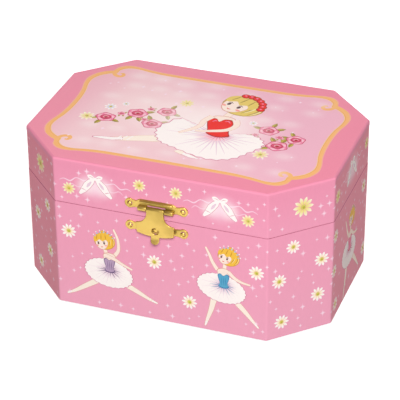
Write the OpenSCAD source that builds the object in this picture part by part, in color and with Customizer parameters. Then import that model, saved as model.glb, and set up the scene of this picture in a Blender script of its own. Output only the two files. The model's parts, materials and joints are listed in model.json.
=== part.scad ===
// Wind-up musical jewellery box: an octagonal paper-covered case with a hinged, mirrored lid,
// a stamped brass hasp, and a spring movement that turns a small dancer.
// Frame: +Z up, front towards -Y, origin at the middle of the underside. Millimetres.

/* [Case] */
// Width of the case, left to right
case_w = 180; // [176:1:190]
// Depth of the case, front to back
case_d = 125.5; // [124:0.5:130]
// Height with the lid closed
case_h = 94; // [94:1:98]
// Height of the lid
lid_h = 27.5; // [26:0.5:29]
// Length that each cut corner takes off the two sides it joins
corner_cut = 28.5; // [24:0.5:30]
// Radius of the paper round each upright edge
edge_r = 2; // [1:0.5:4]

/* [Boards] */
// Thickness of the board walls
board_t = 3.6; // [3.2:0.1:3.8]
// Thickness of the printed paper over the boards
paper_t = 0.4; // [0.3:0.1:0.6]
// Thickness of the flocked liner inside the base
liner_t = 1.2; // [0.8:0.1:1.4]
// How far the liner stands above the base's rim, to locate the lid
lip_h = 4; // [2:0.5:4.5]
// Gap between the lid's rim and the base's rim
seam_gap = 0.3; // [0.2:0.1:0.5]

/* [Lid] */
// Angle at which the hinges' tabs stop the lid
lid_open = 100; // [90:1:105]
// Distance of the mirror's edge from the outside of the lid
mirror_inset = 16; // [12:1:24]

/* [Hasp] */
// How far the hasp's centre stands left of the middle of the front
hasp_offset = 1.5; // [0:0.5:4]
// Distance from the hasp's centre to each nail
ear_x = 15.3; // [14:0.1:17]
// Thickness of the stamped sheet
sheet_t = 0.7; // [0.5:0.1:0.8]

/* [Movement] */
// Height of the winding arbor above the table
arbor_z = 20; // [20:0.5:21]
// Gear module
gear_module = 0.5; // [0.5]
// Teeth on the crown gear
crown_teeth = 48; // [48]
// Teeth on the cylinder's pinion and on the spindle's pinion
pinion_teeth = 12; // [12]
// Teeth on the cylinder's wheel
cylinder_teeth = 24; // [24]
// Teeth on the governor's pinion
governor_pinion_teeth = 10; // [10]
// Teeth on the governor's worm wheel
worm_wheel_teeth = 16; // [16]
// Notes on the comb
comb_notes = 18; // [12:1:18]

/* [Inside] */
// Height of the stage above the table
stage_z = 42; // [42:0.5:43]
// Number of ring rolls
ring_rolls = 6; // [4:1:6]

/* [Hidden] */
$fn = 48;
eps = 0.01;

// Colours
pink = "#ee9ab8";
pale_pink = "#f6c9d8";
liner_pink = "#e58fae";
gold = "#e2bd5e";
steel = "#b9bcc0";
brass = "#c9a557";

// The case, from the table up
felt_t = 0.8;
floor_z = felt_t;
floor_t = 3.2;
seam_z = case_h - lid_h;
base_rim = seam_z - seam_gap / 2;
lid_rim = seam_z + seam_gap / 2;
lid_top_t = board_t;
lid_top_z = case_h - paper_t - lid_top_t;
lid_liner_t = 0.8;
lid_liner_z = seam_z + lip_h + 1;
lid_top_liner_t = 1;
glue_gap = 0.05;
mitre_gap = 0.04;
liner_gap = 0.3;
mirror_t = 1.35;

// Insets of each layer from the outside of the paper
board_in = paper_t;
liner_in = paper_t + board_t + liner_gap;
liner_face = liner_in + liner_t;
floor_liner_z = floor_z + floor_t + glue_gap;
floor_liner_t = 1.2;
floor_top = floor_liner_z + floor_liner_t;
rear_face = case_d / 2;
rear_inside = rear_face - paper_t - board_t;
front_face = -case_d / 2;

// The movement's cover and the stage
cover_x = 49;
cover_y = 26;
cover_t = 2;
stage_t = 1.8;

// Hinges
hinge_x = 38;
knuckle_r = 1.6;
hinge_pin_r = 0.8;
running = 0.05;
hinge_y = rear_face + knuckle_r + running;
hinge_half = 9;
hinge_middle = 2.8;
leaf_drop = 9.5;
leaf_clear = 1.8;
nail_r = 0.7;

// Hasp
ear_r = 2.9;
plate_half = 10.6;
hasp_knuckle_r = 1.5;
hasp_pin_r = 0.7;
hasp_y = front_face - hasp_knuckle_r - running;
hasp_z = seam_z + 6.1;
catch_z = seam_z - 6.3;
tongue_half = 5;
tongue_y = hasp_y - hasp_knuckle_r;
bell_half = 11;
bell_foot = seam_z - 10.1;
tail_half = 2.3;
tail_r = 6;
tail_angle = 45;

// Gears: pitch radii, tooth heights and where each sits
addendum = 0.9 * gear_module;
dedendum = 1.2 * gear_module;
tooth_t = 1.2 * gear_module;
circular_pitch = PI * gear_module;
function pitch_r(teeth) = teeth * gear_module / 2;
crown_r = pitch_r(crown_teeth);
crown_face = 2.4;
bedplate_t = 1.95;
bedplate_y = rear_inside - glue_gap - bedplate_t;
housing_depth = 10;
housing_r = 12.5;
housing_front = bedplate_y - glue_gap - housing_depth;
crown_disc_t = 1.2;
crown_back = housing_front - 0.35;
crown_pitch_y = crown_back - crown_disc_t - dedendum;
axis_y = crown_pitch_y - pitch_r(pinion_teeth);
arbor_r = 2;

// The pinned cylinder lies along X, level with the arbor
shaft_r = 1;
drum_x0 = 16.5;
drum_x1 = 34.5;
drum_r = 6.5;
pin_reach = 0.5;
pin_r = 0.16;
comb_clear = 0.1;
track_x0 = 17.3;
track_step = (drum_x1 - 0.8 - track_x0) / (comb_notes - 1);
wheel_x0 = 34.7;
wheel_t = 1.5;

// The governor: its pinion shaft lies above the cylinder, and its worm stands behind that
governor_z = arbor_z + pitch_r(cylinder_teeth) + pitch_r(governor_pinion_teeth);
governor_shaft_r = 0.8;
worm_x = 40.6;
worm_wheel_t = 1.2;
worm_r = 1.25;
worm_tooth_half = 0.26;
worm_core_r = 0.7;
worm_tip_r = worm_r + addendum;
worm_turns = 3;
worm_steps = 16;
worm_y = axis_y + pitch_r(worm_wheel_teeth) + worm_r;
worm_shaft_r = 0.6;
fly_r = 2.75;
brake_r = 2.2;

// Spindle, turntable and dancer
crown_mesh_z = arbor_z + crown_r;
turntable_r = 12;
turntable_z = stage_z + 0.4;
turntable_t = 1.6;
spring_z0 = turntable_z + turntable_t;
spring_z1 = spring_z0 + 6;

// Stop plunger
plunger_y = worm_y + 5.65;
plunger_r = 0.8;
plunger_top = seam_z + lip_h - 0.1;
plunger_foot = 20.5;
shelf_low = 21.8;
shelf_high = 38.4;
shelf_t = 1.2;
finger_z = 34.3;
finger_t = 0.5;

// ---------------------------------------------------------------- shapes that repeat

// The eight corners of the case's outline, moved inwards by inset, counter-clockwise from the front left
function octagon_points(inset) = let(
    x = case_w / 2 - inset,
    y = case_d / 2 - inset,
    c = corner_cut - inset * (2 - sqrt(2))
) [[-x + c, -y], [x - c, -y], [x, -y + c], [x, y - c], [x - c, y], [-x + c, y], [-x, y - c], [-x, -y + c]];

module octagon_plate(inset, z, t) {
    translate([0, 0, z]) linear_extrude(t) polygon(octagon_points(inset));
}

// The outline with each upright edge rounded to radius r
function rounded_octagon(r, steps = 4) = let(p = octagon_points(0)) [
    for (i = [0:7])
        let(
            before = p[(i + 7) % 8] - p[i],
            after = p[(i + 1) % 8] - p[i],
            u = before / norm(before),
            v = after / norm(after),
            half = acos(u * v) / 2,
            centre = p[i] + (u + v) / norm(u + v) * r / sin(half),
            start = atan2(-(u + v)[1], -(u + v)[0])
        )
        for (k = [0:steps])
            let(a = start + (90 - half) * (2 * k / steps - 1))
            centre + r * [cos(a), sin(a)]
];

// One straight board of a mitred ring, as a plan outline
function board_points(i, inset, t) = let(
    outer = octagon_points(inset),
    inner = octagon_points(inset + t),
    j = (i + 1) % 8,
    u = (outer[j] - outer[i]) / norm(outer[j] - outer[i]) * mitre_gap
) [outer[i] + u, outer[j] - u, inner[j] - u, inner[i] + u];

module board(i, inset, t, z0, z1) {
    translate([0, 0, z0]) linear_extrude(z1 - z0) polygon(board_points(i, inset, t));
}

module block(x, y, z) {
    translate([x[0], y[0], z[0]]) cube([x[1] - x[0], y[1] - y[0], z[1] - z[0]]);
}

module rod_x(x, y, z, r) {
    translate([x[0], y, z]) rotate([0, 90, 0]) cylinder(h = x[1] - x[0], r = r);
}

module rod_y(x, y, z, r) {
    translate([x, y[1], z]) rotate([90, 0, 0]) cylinder(h = y[1] - y[0], r = r);
}

module rod_z(x, y, z, r) {
    translate([x, y, z[0]]) cylinder(h = z[1] - z[0], r = r);
}

// Draws a plan outline in the XZ plane, standing between two depths
module upright(y) {
    translate([0, y[1], 0]) rotate([90, 0, 0]) linear_extrude(y[1] - y[0]) children();
}

// A small domed nail driven along +Y (towards = 1) or -Y (towards = -1) from a face
module nail(x, face_y, z, towards, length, head_r = 1.3) {
    head_h = 0.7;
    dome_r = (head_r * head_r + head_h * head_h) / (2 * head_h);
    translate([x, face_y, z]) rotate([towards * 90, 0, 0]) {
        intersection() {
            translate([0, 0, head_h - dome_r]) sphere(r = dome_r, $fn = 64);
            cylinder(h = head_h, r = head_r);
        }
        translate([0, 0, -length]) cylinder(h = length + eps, r = nail_r);
    }
}

// Involute flank: the half angle of a tooth at radius rho
function involute(a) = tan(a) * 180 / PI - a;
function flank_angle(teeth, rho) = let(
    r = pitch_r(teeth),
    base = r * cos(20),
    a = rho > base ? acos(base / rho) : 0
) (tooth_t / 2 / r) * 180 / PI + involute(20) - involute(a);

function gear_points(teeth, phase) = let(
    r = pitch_r(teeth),
    radii = [r - dedendum, max(r * cos(20), r - dedendum + 0.05), r, r + addendum / 2, r + addendum]
) [
    for (i = [0:teeth - 1], side = [-1, 1], k = [0:4])
        let(
            rho = radii[side < 0 ? k : 4 - k],
            a = phase + i * 360 / teeth + side * flank_angle(teeth, rho)
        )
        rho * [cos(a), sin(a)]
];

module spur(teeth, t, phase = 0) {
    linear_extrude(t) polygon(gear_points(teeth, phase));
}

// Faces of a closed tube whose points run ring by ring, with the same number in each ring
function tube_faces(rings, sides) = concat(
    [[for (k = [sides - 1:-1:0]) k]],
    [
        for (i = [0:rings - 1], k = [0:sides - 1])
            let(a = i * sides, b = (i + 1) * sides, n = (k + 1) % sides)
            [a + n, b + n, b + k, a + k]
    ],
    [[for (k = [0:sides - 1]) rings * sides + k]]
);

// A round wire wound along +Z, closed at both ends
module wire_coil(r, wire_r, z0, z1, turns, sides = 6, steps = 16) {
    rings = turns * steps;
    rise = (z1 - z0 - 2 * wire_r) / rings;
    points = [
        for (i = [0:rings], k = [0:sides - 1])
            let(a = 360 * i / steps, b = 360 * k / sides, rho = r + wire_r * cos(b))
            [rho * cos(a), rho * sin(a), z0 + wire_r + rise * i + wire_r * sin(b)]
    ];
    polyhedron(points, tube_faces(rings, sides), convexity = 10);
}

// ---------------------------------------------------------------- base

module bottom_felt() {
    color("#5a3a46") octagon_plate(1.5, 0, felt_t);
}

module base_floor() {
    color("#b08d6a") octagon_plate(board_in, floor_z, floor_t);
}

module base_walls() {
    color("#b08d6a") for (i = [0, 1, 2, 3, 5, 6, 7])
        board(i, board_in, board_t, floor_z + floor_t + glue_gap, base_rim);
}

// Where the movement's three screws pass through the rear board
screw_places = [[-15.5, 10], [-15.5, 37], [25, 10]];
screw_hole_r = 1.6;
arbor_hole_r = 3;

module rear_holes() {
    rod_y(0, [rear_inside - 1, rear_face + 1], arbor_z, arbor_hole_r);
    for (p = screw_places)
        rod_y(p[0], [rear_inside - 1, rear_face + 1], p[1], screw_hole_r);
}

module rear_board() {
    color("#b08d6a") difference() {
        board(4, board_in, board_t, floor_z + floor_t + glue_gap, base_rim);
        rear_holes();
    }
}

module base_wrap() {
    color(pink) difference() {
        translate([0, 0, floor_z]) linear_extrude(base_rim - floor_z) polygon(rounded_octagon(edge_r));
        octagon_plate(paper_t, -1, case_h);
        rear_holes();
    }
}

module base_liner() {
    liner_top = seam_z + lip_h;
    color(liner_pink) {
        for (i = [0, 1, 2, 3, 5, 6, 7])
            board(i, liner_in, liner_t, floor_top + glue_gap, liner_top);
        intersection() {
            board(4, liner_in, liner_t, floor_top + glue_gap, liner_top);
            union() {
                block([-case_w, case_w], [0, case_d], [stage_z + glue_gap, case_h]);
                for (s = [-1, 1])
                    block([s > 0 ? cover_x + 0.2 : -case_w, s > 0 ? case_w : -cover_x - 0.2], [0, case_d], [0, case_h]);
            }
        }
    }
}

module floor_liner() {
    color(liner_pink) octagon_plate(liner_in, floor_liner_z, floor_liner_t);
}

divider_x = 31;
divider_t = 1.6;
divider_top = 52;
room_front = front_face + liner_face + glue_gap;

module divider_boards() {
    color(liner_pink) for (s = [-1, 1])
        block(
            s > 0 ? [divider_x - divider_t, divider_x] : [-divider_x, -divider_x + divider_t],
            [room_front, cover_y - glue_gap],
            [floor_top + glue_gap, divider_top]
        );
}

// The tray that carries the ring rolls, between the two dividers
tray_z = 30;
tray_t = 1.5;
tray_half = divider_x - divider_t - 0.1;
roll_r = 6.4;
roll_half = tray_half - 0.4;
roll_room = cover_y - 0.8 - room_front;
roll_step = roll_room / ring_rolls;

module ring_tray() {
    color(liner_pink) {
        block([-tray_half, tray_half], [room_front, cover_y - glue_gap], [tray_z, tray_z + tray_t]);
        for (s = [-1, 1])
            block([s * (tray_half - 1) - 1, s * (tray_half - 1) + 1], [room_front, cover_y - glue_gap],
                [floor_top + glue_gap, tray_z - glue_gap]);
    }
}

module ring_roll_pads() {
    color("#f3b3c8") for (i = [0:ring_rolls - 1])
        rod_x([-roll_half, roll_half], room_front + 0.4 + roll_step * (i + 0.5), tray_z + tray_t + roll_r + 0.2, roll_r);
}

module movement_cover() {
    top = stage_z - stage_t - glue_gap;
    bottom = floor_top + glue_gap;
    color(liner_pink) {
        block([-cover_x, cover_x], [cover_y, cover_y + cover_t], [bottom, top]);
        for (s = [-1, 1])
            block(
                s > 0 ? [cover_x - cover_t, cover_x] : [-cover_x, -cover_x + cover_t],
                [cover_y + cover_t + glue_gap, rear_inside - glue_gap],
                [bottom, top]
            );
    }
}

module stage_board() {
    color(pale_pink) difference() {
        block([-cover_x, cover_x], [cover_y, rear_inside - glue_gap], [stage_z - stage_t, stage_z]);
        rod_z(0, axis_y, [0, case_h], 2);
        rod_z(worm_x, plunger_y, [0, case_h], 1.2);
    }
}

// ---------------------------------------------------------------- lid

module lid_walls() {
    color("#b08d6a") for (i = [0:7])
        board(i, board_in, board_t, lid_rim, lid_top_z - glue_gap);
}

module lid_top_board() {
    color("#b08d6a") octagon_plate(board_in, lid_top_z, lid_top_t);
}

module lid_wrap() {
    color(pink) difference() {
        translate([0, 0, lid_rim]) linear_extrude(case_h - lid_rim) polygon(rounded_octagon(edge_r));
        octagon_plate(paper_t, 0, case_h - paper_t);
    }
}

module lid_liner() {
    color(pale_pink) for (i = [0:7])
        board(i, liner_in, lid_liner_t, lid_liner_z, lid_top_z - lid_top_liner_t - glue_gap);
}

module lid_top_liner() {
    color(pale_pink) octagon_plate(liner_in, lid_top_z - lid_top_liner_t - 0.02, lid_top_liner_t);
}

mirror_top = lid_top_z - lid_top_liner_t - glue_gap;

module mirror() {
    color("#dfe9ee") octagon_plate(mirror_inset, mirror_top - mirror_t, mirror_t);
}

// A card block inside the lid that holds the plunger down while the lid is shut
module plunger_presser() {
    color(pale_pink) block([worm_x - 4.6, worm_x + 4.4], [49.5, 57], [plunger_top + 0.3, mirror_top]);
}

// ---------------------------------------------------------------- hinges

module hinge_knuckle(x) {
    rod_x(x, hinge_y, seam_z, knuckle_r);
}

module hinge_bore() {
    rod_x([-hinge_half - 1, hinge_half + 1], hinge_y, seam_z, hinge_pin_r + running);
}

leaf_y = [rear_face + running, rear_face + running + sheet_t];
leaf_nail_x = 5.6;
leaf_nail_z = 5.8;

module hinge_base_leaf() {
    difference() {
        union() {
            block([-hinge_half, hinge_half], leaf_y, [seam_z - leaf_drop, seam_z - leaf_clear]);
            for (s = [-1, 1]) {
                inner = hinge_middle + 0.2;
                x = s > 0 ? [inner, hinge_half] : [-hinge_half, -inner];
                block(x, leaf_y, [seam_z - leaf_clear - eps, seam_z]);
                hinge_knuckle(x);
            }
        }
        hinge_bore();
        for (s = [-1, 1])
            rod_y(s * leaf_nail_x, [rear_face - 1, hinge_y], seam_z - leaf_nail_z, nail_r + running);
    }
}

module hinge_lid_leaf() {
    difference() {
        union() {
            block([-hinge_half, hinge_half], leaf_y, [seam_z + leaf_clear, seam_z + leaf_drop]);
            block([-hinge_middle, hinge_middle], leaf_y, [seam_z, seam_z + leaf_clear + eps]);
            hinge_knuckle([-hinge_middle, hinge_middle]);
            // The stop tab, which lies against the base leaf when the lid is open
            translate([-hinge_middle, hinge_y, seam_z]) rotate([lid_open, 0, 0])
                translate([0, -0.85, -4.6]) cube([2 * hinge_middle, 1.2, 3.6]);
        }
        hinge_bore();
        for (s = [-1, 1])
            rod_y(s * leaf_nail_x, [rear_face - 1, hinge_y], seam_z + leaf_nail_z, nail_r + running);
    }
}

module at_hinges() {
    for (s = [-1, 1]) translate([s * hinge_x, 0, 0]) children();
}

module hinge_base_leaves() {
    color(gold) at_hinges() hinge_base_leaf();
}

module hinge_lid_leaves() {
    color(gold) at_hinges() hinge_lid_leaf();
}

module hinge_pins() {
    color(brass) at_hinges() rod_x([-hinge_half, hinge_half], hinge_y, seam_z, hinge_pin_r);
}

module hinge_nails(z) {
    color(gold) at_hinges() for (s = [-1, 1])
        nail(s * leaf_nail_x, leaf_y[1] + 0.01, z, -1, 4);
}

// ---------------------------------------------------------------- hasp

plate_y = [front_face - running - sheet_t, front_face - running];

// A plate with a round ear at each end, drawn in to a waist beside its body
module ear_plate(z, low, high) {
    waist = 0.72 * ear_r;
    neck = plate_half + 1.1;
    shoulder = plate_half - 1;
    for (s = [-1, 1]) rod_y(s * ear_x, plate_y, z, ear_r);
    block([-ear_x, ear_x], plate_y, [z - waist, z + waist]);
    upright(plate_y) polygon([
        [-neck, z - waist], [-shoulder, z - low], [shoulder, z - low], [neck, z - waist],
        [neck, z + waist], [shoulder, z + high], [-shoulder, z + high], [-neck, z + waist],
    ]);
}

module ear_holes(z) {
    for (s = [-1, 1]) rod_y(s * ear_x, [plate_y[0] - 1, plate_y[1] + 1], z, nail_r + running);
}

ear_z = seam_z + 7.6;
roll_end = 10.15;
bead_half = 9.7;

module hasp_plate() {
    color(gold) translate([-hasp_offset, 0, 0]) difference() {
        union() {
            ear_plate(ear_z, 3, 3.4);
            for (s = [-1, 1]) {
                inner = tongue_half + 0.25;
                rod_x(s > 0 ? [inner, roll_end] : [-roll_end, -inner], hasp_y, hasp_z, hasp_knuckle_r);
            }
            rod_x([-bead_half, bead_half], plate_y[0], ear_z + 2.2, 0.95);
        }
        block([-tongue_half - 0.25, tongue_half + 0.25], [plate_y[0] - 3, plate_y[1] + 1], [0, hasp_z + 1.75]);
        block([-12, 12], [plate_y[1], plate_y[1] + 3], [0, case_h]);
        rod_x([-12, 12], hasp_y, hasp_z, hasp_pin_r + running);
        ear_holes(ear_z);
    }
}

module hasp_pin() {
    color(brass) translate([-hasp_offset, 0, 0]) rod_x([-10.4, 10.4], hasp_y, hasp_z, hasp_pin_r);
}

// The bell outline of the hasp, drawn down the right side and up the left
function bell_side(s) = let(flare = bell_half - tongue_half, top = seam_z + 4) [
    [s * tongue_half, hasp_z],
    for (k = [0:8]) let(a = 90 * k / 8) [s * (bell_half - flare * cos(a)), top - flare * sin(a)],
    for (k = [0:5]) let(x = bell_half * (1 - k / 6)) [s * x, bell_foot + 1.8 * pow(x / bell_half, 2)],
];

function reversed(list) = [for (i = [len(list) - 1:-1:0]) list[i]];

// The finger tail, curling outwards, as a strip bent to an arc
function tail_points() = let(steps = 8, y = tongue_y + sheet_t / 2, z = bell_foot + 0.6) [
    for (side = [-1, 1], k = [0:steps])
        let(a = tail_angle * (side < 0 ? k : steps - k) / steps, r = tail_r + side * sheet_t / 2)
        [y - tail_r + r * cos(a), z - r * sin(a)]
];

module hasp() {
    color(gold) translate([-hasp_offset, 0, 0]) difference() {
        union() {
            upright([tongue_y, tongue_y + sheet_t])
                polygon(concat(bell_side(1), [[0, bell_foot]], reversed(bell_side(-1))));
            rod_x([-tongue_half, tongue_half], hasp_y, hasp_z, hasp_knuckle_r);
            translate([-tail_half, 0, 0]) rotate([90, 0, 90]) linear_extrude(2 * tail_half) polygon(tail_points());
        }
        rod_x([-tongue_half - 1, tongue_half + 1], hasp_y, hasp_z, hasp_pin_r + running);
        rod_y(0, [tongue_y - 1, tongue_y + sheet_t + 0.4], catch_z, 2.1);
    }
}

module catch_plate() {
    stud_r = 1.5;
    stud_tip = tongue_y + sheet_t + 0.12;
    color(gold) translate([-hasp_offset, 0, 0]) difference() {
        union() {
            ear_plate(catch_z, 2.9, 2.9);
            rod_y(0, [stud_tip + 0.5, plate_y[0] + eps], catch_z, stud_r);
            translate([0, stud_tip + 0.5, catch_z]) rotate([90, 0, 0]) cylinder(h = 0.5, r1 = stud_r, r2 = 0.9);
        }
        ear_holes(catch_z);
    }
}

module hasp_nails(z) {
    color(gold) translate([-hasp_offset, 0, 0]) for (s = [-1, 1])
        nail(s * ear_x, plate_y[0] - 0.01, z, 1, 4, 1.2);
}

// ---------------------------------------------------------------- winding

key_y = [rear_face + 2.6, rear_face + 8];
wing_y = key_y[1] - 0.6;

module winding_key() {
    lobe_x = 6;
    lobe_r = 4.8;
    color(gold) difference() {
        union() {
            rod_y(0, key_y, arbor_z, 3.2);
            for (s = [-1, 1])
                translate([s * lobe_x, wing_y + lobe_r, arbor_z - 0.7]) cylinder(h = 1.4, r = lobe_r);
            block([-lobe_x, lobe_x], [wing_y, wing_y + 7.4], [arbor_z - 0.7, arbor_z + 0.7]);
        }
        for (s = [-1, 1])
            translate([s * (lobe_x + 0.3), wing_y + lobe_r, arbor_z - 2]) cylinder(h = 4, r = 2);
        rod_y(0, [key_y[0] - 1, key_y[0] + 4.4], arbor_z, 1.5 + running);
    }
}

module winding_arbor() {
    color(steel) {
        rod_y(0, [crown_back - 2.6, key_y[0] - 0.1], arbor_z, arbor_r);
        rod_y(0, [key_y[0] - 0.1 - eps, key_y[0] + 4.2], arbor_z, 1.5);
        rod_y(0, [housing_front + 1.2, bedplate_y - 0.4], arbor_z, 2.6);
    }
}

module arbor_clip() {
    front = crown_back - 2.3;
    color(steel) difference() {
        rod_y(0, [front, front + 0.4], arbor_z, 3.2);
        rod_y(0, [front - 1, front + 1], arbor_z, arbor_r);
        block([-1, 1], [front - 1, front + 1], [arbor_z - 4, arbor_z]);
    }
}

module key_escutcheon() {
    color(gold) difference() {
        rod_y(0, [rear_face + running, rear_face + 0.9], arbor_z, 6);
        rod_y(0, [rear_face - 1, rear_face + 2], arbor_z, arbor_hole_r - 0.5);
    }
}

// ---------------------------------------------------------------- movement

bearing_a = [14.2, 15.7];
bearing_b = [37.2, 38.7];
bearing_c = [43.6, 44.8];
bearing_front = axis_y - 2.8;
comb_screw_x = [20, 31];
comb_screw_z = 37;
comb_t = 0.7;
comb_root_t = 1.4;
comb_front = axis_y - comb_t / 2;
comb_back = comb_front + comb_root_t;

module movement_bedplate() {
    face = bedplate_y + eps;
    color(steel) difference() {
        union() {
            block([-18, 47], [bedplate_y, bedplate_y + bedplate_t], [floor_top + 0.6, stage_z - stage_t - 0.4]);
            block(bearing_a, [bearing_front, face], [arbor_z - 3.5, arbor_z + 3.5]);
            block(bearing_b, [bearing_front, face], [arbor_z - 3.5, governor_z + 3]);
            block(bearing_c, [bearing_front, face], [governor_z - 3, governor_z + 3]);
            for (x = comb_screw_x) rod_y(x, [comb_back + 0.02, face], comb_screw_z, 2.4);
        }
        rod_y(0, [bedplate_y - 1, rear_face], arbor_z, arbor_r + 0.1);
        for (p = screw_places) rod_y(p[0], [bedplate_y - 1, rear_face], p[1], 1.4 + 0.02);
        rod_x([bearing_a[0] - 1, bearing_b[1] + 1], axis_y, arbor_z, shaft_r + running);
        rod_x([bearing_b[0] - 1, bearing_c[1] + 1], axis_y, governor_z, governor_shaft_r + running);
        for (x = comb_screw_x) rod_y(x, [comb_back - 1, comb_back + 7], comb_screw_z, 0.9 + 0.02);
    }
}

module movement_screws() {
    head = [rear_face + running, rear_face + 1.5];
    color(steel) for (p = screw_places)
        difference() {
            union() {
                rod_y(p[0], head, p[1], 2.6);
                rod_y(p[0], [bedplate_y + 0.3, head[0] + eps], p[1], 1.4);
            }
            block([p[0] - 1.6, p[0] + 1.6], [head[1] - 0.7, head[1] + 1], [p[1] - 0.3, p[1] + 0.3]);
            block([p[0] - 0.3, p[0] + 0.3], [head[1] - 0.7, head[1] + 1], [p[1] - 1.6, p[1] + 1.6]);
        }
}

module spring_housing() {
    back = bedplate_y - glue_gap;
    wall = 0.7;
    color(brass) difference() {
        rod_y(0, [housing_front, back], arbor_z, housing_r);
        rod_y(0, [housing_front + wall, back + 1], arbor_z, housing_r - wall);
        rod_y(0, [housing_front - 1, back], arbor_z, arbor_r + 0.3);
    }
}

// The mainspring, a steel strip wound as a spiral between the arbor and the housing
spring_turns = 6;
spring_steps = 14;
spring_r0 = 3.1;
spring_r1 = housing_r - 1;
strip_t = 0.3;

function spiral(offset) = [
    for (i = [0:spring_turns * spring_steps])
        let(
            a = 360 * i / spring_steps,
            r = spring_r0 + (spring_r1 - spring_r0) * i / (spring_turns * spring_steps) + offset
        )
        r * [cos(a), sin(a)]
];

module mainspring() {
    color("#7f858c") translate([0, 0, arbor_z])
        upright([housing_front + 1.2, bedplate_y - 0.6])
            polygon(concat(spiral(0), reversed(spiral(-strip_t))));
}

// One crown tooth, as a section across its length, standing on the disc's front face
function crown_tooth() = let(
    lean = tan(20),
    foot = tooth_t / 2 + (dedendum + 0.1) * lean,
    tip = tooth_t / 2 - addendum * lean
) [[-foot, 0], [foot, 0], [tip, dedendum + 0.1 + addendum], [-tip, dedendum + 0.1 + addendum]];

module crown_gear() {
    front = crown_back - crown_disc_t;
    color(brass) difference() {
        union() {
            rod_y(0, [front, crown_back], arbor_z, crown_r + crown_face / 2);
            rod_y(0, [front - 0.6, crown_back + 0.1], arbor_z, 4);
            for (i = [0:crown_teeth - 1])
                translate([0, front + 0.1, arbor_z]) rotate([0, i * 360 / crown_teeth, 0])
                    translate([crown_r - crown_face / 2, 0, 0]) rotate([0, 90, 0])
                        linear_extrude(crown_face) rotate(180) polygon(crown_tooth());
        }
        rod_y(0, [front - 2, crown_back + 2], arbor_z, arbor_r + running);
    }
}

// A gear on an X axis: tooth 0 of the outline points down before its phase is added
module spur_x(teeth, x, y, z, phase) {
    translate([x[0], y, z]) rotate([0, 90, 0]) spur(teeth, x[1] - x[0], phase);
}

module pinned_cylinder() {
    pins_per_track = 4;
    color(brass) difference() {
        union() {
            rod_x([drum_x0, drum_x1], axis_y, arbor_z, drum_r);
            for (i = [0:comb_notes - 1], k = [0:pins_per_track - 1])
                translate([track_x0 + i * track_step, axis_y, arbor_z])
                    rotate([i * 137.5 + k * 90 + 23 * sin(i * 71 + k * 50), 0, 0])
                        translate([0, 0, drum_r - 0.3]) cylinder(h = 0.3 + pin_reach, r = pin_r, $fn = 16);
            spur_x(cylinder_teeth, [drum_x1 - eps, wheel_x0 + wheel_t], axis_y, arbor_z, 0);
        }
        rod_x([drum_x0 - 1, wheel_x0 + wheel_t + 1], axis_y, arbor_z, shaft_r);
    }
}

module cylinder_shaft() {
    color(steel) {
        rod_x([10.6, bearing_b[1] + 0.5], axis_y, arbor_z, shaft_r);
        spur_x(pinion_teeth, [crown_r - 0.8, crown_r + 0.8], axis_y, arbor_z, 180 / pinion_teeth);
    }
}

// The comb's outline in the XZ plane: a root bar with one tooth over each track
comb_tip = arbor_z + drum_r + pin_reach + comb_clear;
comb_slot = comb_tip + 7;
comb_half = 0.36;

function comb_tooth(i) = let(x = track_x0 + i * track_step) [
    [x - comb_half, comb_slot], [x - comb_half * 0.7, comb_tip], [x + comb_half * 0.7, comb_tip], [x + comb_half, comb_slot],
];

module comb() {
    root_x = [drum_x0, drum_x1];
    top = comb_slot + 5.4;
    color("#9aa0a8") difference() {
        union() {
            upright([comb_front, comb_front + comb_t]) polygon([
                [root_x[0], comb_slot],
                for (i = [0:comb_notes - 1], p = comb_tooth(i)) p,
                [root_x[1], comb_slot], [root_x[1], top], [root_x[0], top],
            ]);
            block(root_x, [comb_front, comb_back], [comb_slot + 0.4, top]);
        }
        for (x = comb_screw_x) rod_y(x, [comb_front - 1, comb_back + 1], comb_screw_z, 0.9 + 0.1);
    }
}

module comb_screws() {
    color(steel) for (x = comb_screw_x)
        difference() {
            union() {
                rod_y(x, [comb_front - 1.3, comb_front - 0.02], comb_screw_z, 1.8);
                rod_y(x, [comb_front - 0.1, comb_back + 6], comb_screw_z, 0.9);
            }
            block([x - 2, x + 2], [comb_front - 2, comb_front - 0.9], [comb_screw_z - 0.2, comb_screw_z + 0.2]);
        }
}

module governor_bracket() {
    x = [worm_x - 1.6, worm_x + 2.8];
    back = bedplate_y - glue_gap;
    color(steel) difference() {
        union() {
            block(x, [back - 1, back], [shelf_low, shelf_high + shelf_t]);
            for (z = [shelf_low, shelf_high]) block(x, [worm_y - 1.8, back], [z, z + shelf_t]);
        }
        rod_z(worm_x, worm_y, [shelf_low - 1, case_h], worm_shaft_r + running);
        rod_z(worm_x, plunger_y, [shelf_low - 1, case_h], plunger_r + 0.1);
    }
}

module governor_wheel() {
    wheel_x = [worm_x - worm_wheel_t / 2, worm_x + worm_wheel_t / 2];
    color(brass) {
        rod_x([wheel_x0, bearing_c[1] + 0.3], axis_y, governor_z, governor_shaft_r);
        spur_x(governor_pinion_teeth, [wheel_x0, wheel_x0 + wheel_t], axis_y, governor_z, 180 / governor_pinion_teeth);
        spur_x(worm_wheel_teeth, wheel_x, axis_y, governor_z, 0);
    }
}

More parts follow.
